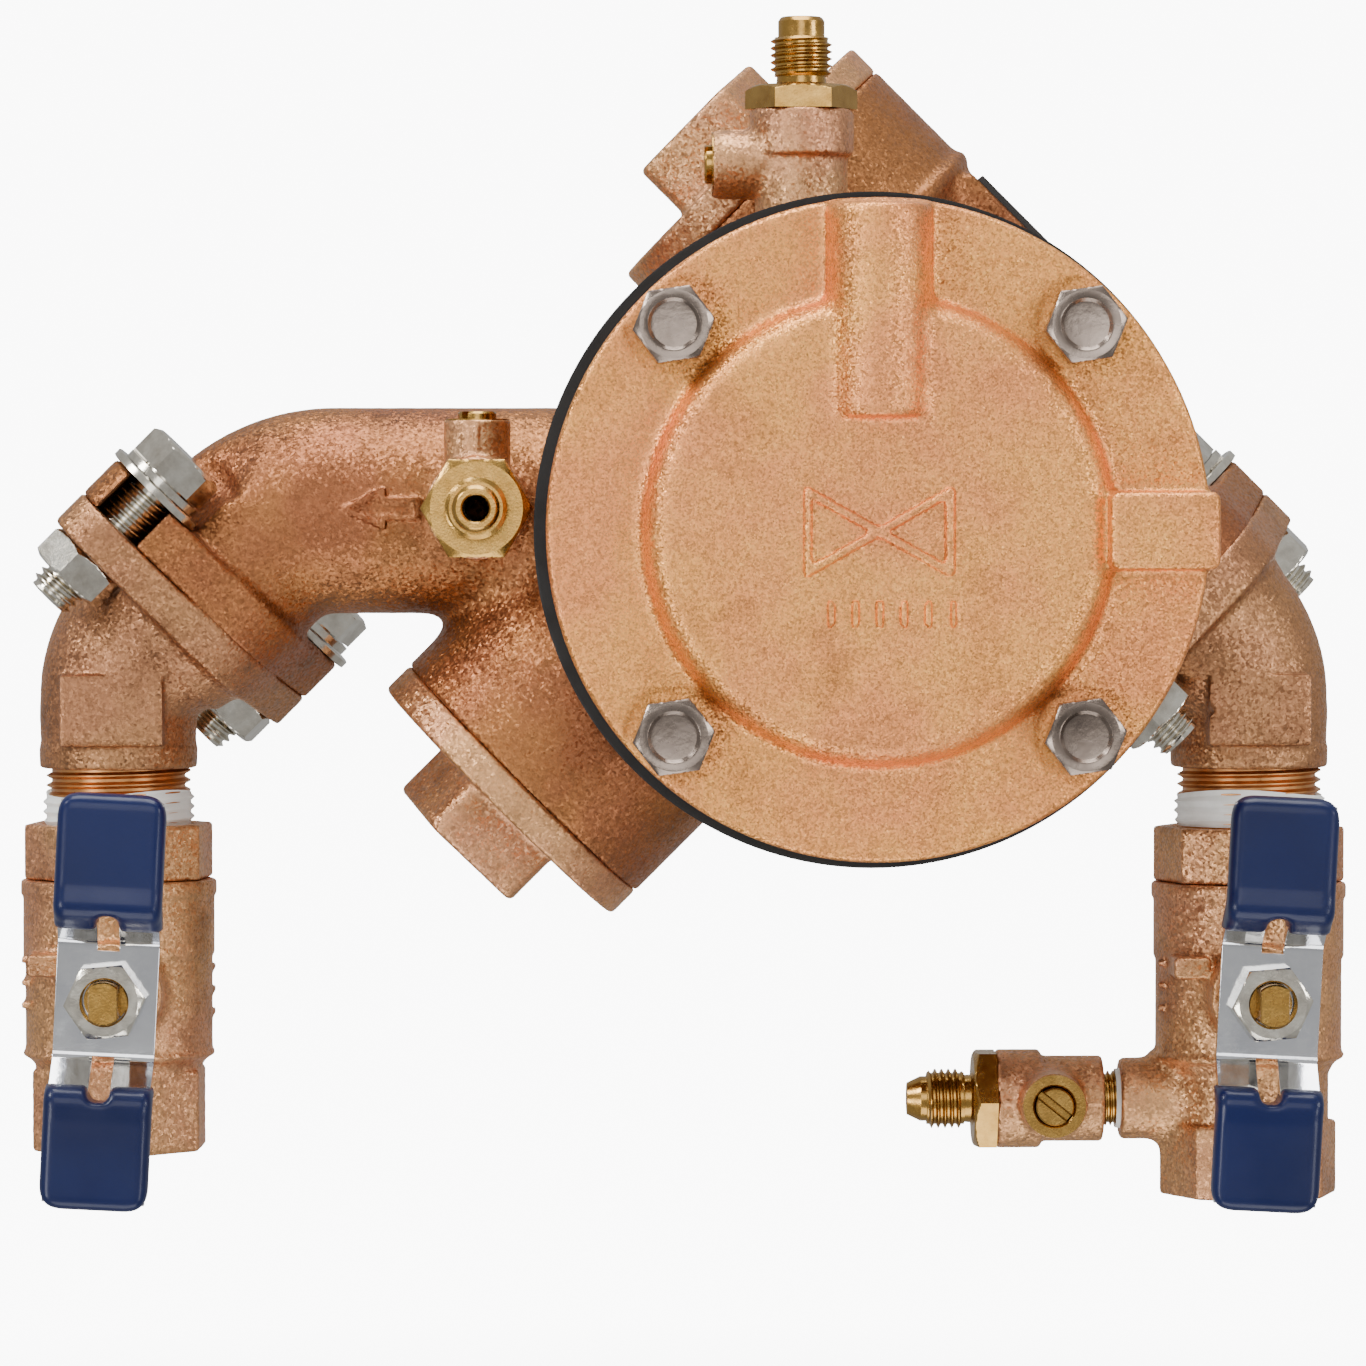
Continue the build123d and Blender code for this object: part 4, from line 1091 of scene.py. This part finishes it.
def dressed(node, bevel, material=None):
    """A copy of a CAD node with its sharp edges broken by a small bevel."""
    mesh = NODES[node].data.copy()
    clean = bmesh.new()
    clean.from_mesh(mesh)
    bmesh.ops.remove_doubles(clean, verts=clean.verts, dist=2e-6)
    bmesh.ops.dissolve_limit(clean, angle_limit=math.radians(1.0), verts=clean.verts,
                             edges=clean.edges)
    sharp = [e for e in clean.edges
             if len(e.link_faces) == 2 and e.calc_face_angle(0.0) > math.radians(28.0)]
    bmesh.ops.bevel(clean, geom=sharp, offset=bevel * MM, segments=2, profile=0.5,
                    affect="EDGES", clamp_overlap=True)
    clean.to_mesh(mesh)
    clean.free()
    stand_in(f"{node}_finished", mesh, node, 20.0, material)


def build_valve_hardware():
    """Handles, nuts, stems and packing nuts of both ball valves."""
    packing = []
    for side, up in VALVES.items():
        front = facing(up.origin)
        dressed(f"{side}_valve_handle", 0.25)
        nut = hexagon(front, 35.0, 40.4, 12.9, 5, bore=4.15)
        own(f"{side}_handle_nut_hex", nut, f"{side}_valve_handle_nut")
        own(f"{side}_stem_flatted", stem_shape(front), f"{side}_valve_stem")
        packing.append(hexagon(front, 24.5, 29.5, 15.5, 0, below=((22.5, 6.9), (24.5, 6.9))))
    own("packing_nuts_hex", joined(packing), "packing_nuts")


def stem_shape(front):
    """A ball valve's stem: tang, collar, shank and the flatted end inside the nut."""
    lower = turned(front, [(13.6, 5.9), (16.3, 5.9), (16.3, STEM_R), (36.0, STEM_R)], segments=48)
    angles = np.linspace(0, 2 * math.pi, 65)[:-1]
    flat = [(np.clip(STEM_R * math.cos(a), -2.65, 2.65), STEM_R * math.sin(a)) for a in angles]
    rings = [front.world([(x * k, y * k, z) for x, y in flat])
             for z, k in ((35.5, 1.0), (43.6, 1.0), (43.95, 0.93))]
    tang = [front.world([(x, y, z) for x, y in ((-2, -5.5), (2, -5.5), (2, 5.5), (-2, 5.5))])
            for z in (10.6, 13.7)]
    return joined([lower, rings_to_mesh(rings), rings_to_mesh(tang)])


def build_nameplate():
    """The blank plate beside the first chamber, and its drive pins."""
    dressed("nameplate", 0.3, material=MATERIALS["plate_black"])
    dressed("nameplate_pins", 0.2)


def finish_cad_nodes():
    """Procedural materials on the CAD nodes that are still shown."""
    for name, node in NODES.items():
        if node.hide_render:
            continue
        for slot in node.material_slots:
            slot.material = MATERIALS[SLOT_OF[name]]


# --- stage


LIGHTS = (  # name, place and size in metres, power in watts
    ("key", (-1.4, -0.7, 1.2), 0.5, 19),
    ("right", (1.4, -0.9, 0.5), 0.5, 9),
    ("front", (-0.2, -2.5, 0.65), 1.2, 13),
    ("top", (-0.1, -0.1, 1.5), 1.0, 26),
    ("low_left", (-1.3, -1.3, -0.35), 0.6, 12),
    ("low_right", (1.2, -1.4, -0.4), 0.6, 8),
    ("below", (-0.1, -0.6, -1.2), 1.0, 11),
)


def build_world():
    """A pale room, brighter overhead than below."""
    room = Nodes(bpy.data.worlds.new("studio"), "Background")
    bpy.context.scene.world = room.owner
    height = room.node("ShaderNodeSeparateXYZ", {0: room.places["Generated"]}).outputs["Z"]
    room.set(Color=(1.0, 1.0, 1.0, 1.0), Strength=room.spread(height, -0.7, 0.8, 0.4, 0.6))


def point_at(thing, place_m, target):
    """Put a lamp or a camera in its place and turn it to its target."""
    thing.location = place_m
    look = Vector(target) - Vector(place_m)
    thing.rotation_euler = look.to_track_quat("-Z", "Y").to_euler()


def build_stage():
    """A round pale studio, whose floor rises into a glowing wall, and its soft lights."""
    rise = [(0.9 + 2.1 * math.sin(a), 2.1 - 2.1 * math.cos(a))
            for a in np.linspace(0, math.pi / 2, 24)] + [(3.0, 4.5)]
    rings = [circle(z, radius, 128) for radius, z in rise]
    mesh = bpy.data.meshes.new("sweep")
    verts, faces = rings_to_mesh(rings, True, False)
    mesh.from_pydata(verts, [], faces)
    mesh.shade_smooth()
    floor = in_scene("sweep", mesh)
    floor.location = (-0.1, 0.0, -0.16)
    pale = Nodes(bpy.data.materials.new("pale paper"))
    tint = pale.mix(pale.noise(6.0), (0.80, 0.80, 0.80, 1), (0.83, 0.83, 0.83, 1))
    away = pale.node("ShaderNodeVectorMath", {0: pale.where}, operation="LENGTH")
    glow = pale.spread(away.outputs["Value"], 0.35, 1.0, 0.0, 9.0)
    pale.set(Base_Color=tint, Roughness=0.9, Emission_Color=(1, 1, 1, 1), Emission_Strength=glow)
    mesh.materials.append(pale.owner)
    floor.visible_diffuse = floor.visible_glossy = floor.visible_shadow = False
    build_world()
    for name, at, size, power in LIGHTS:
        light = bpy.data.lights.new(name, "AREA")
        light.energy, light.size = power, size
        point_at(in_scene(name, light), at, (-0.1, 0.0, 0.1))


def build_camera():
    """The photograph's view: level with the outlet tube, a little right of the middle."""
    lens = bpy.data.cameras.new("photo camera")
    lens.lens = 164.0
    camera = in_scene("photo camera", lens)
    point_at(camera, (-0.1314, -1.162, 0.130), (-0.106, 0.0, 0.0958))
    bpy.context.scene.camera = camera


build_castings()
build_unions()
build_threads()
build_relief_hardware()
build_springs()
build_cocks()
build_valve_hardware()
build_nameplate()
finish_cad_nodes()
build_stage()
build_camera()
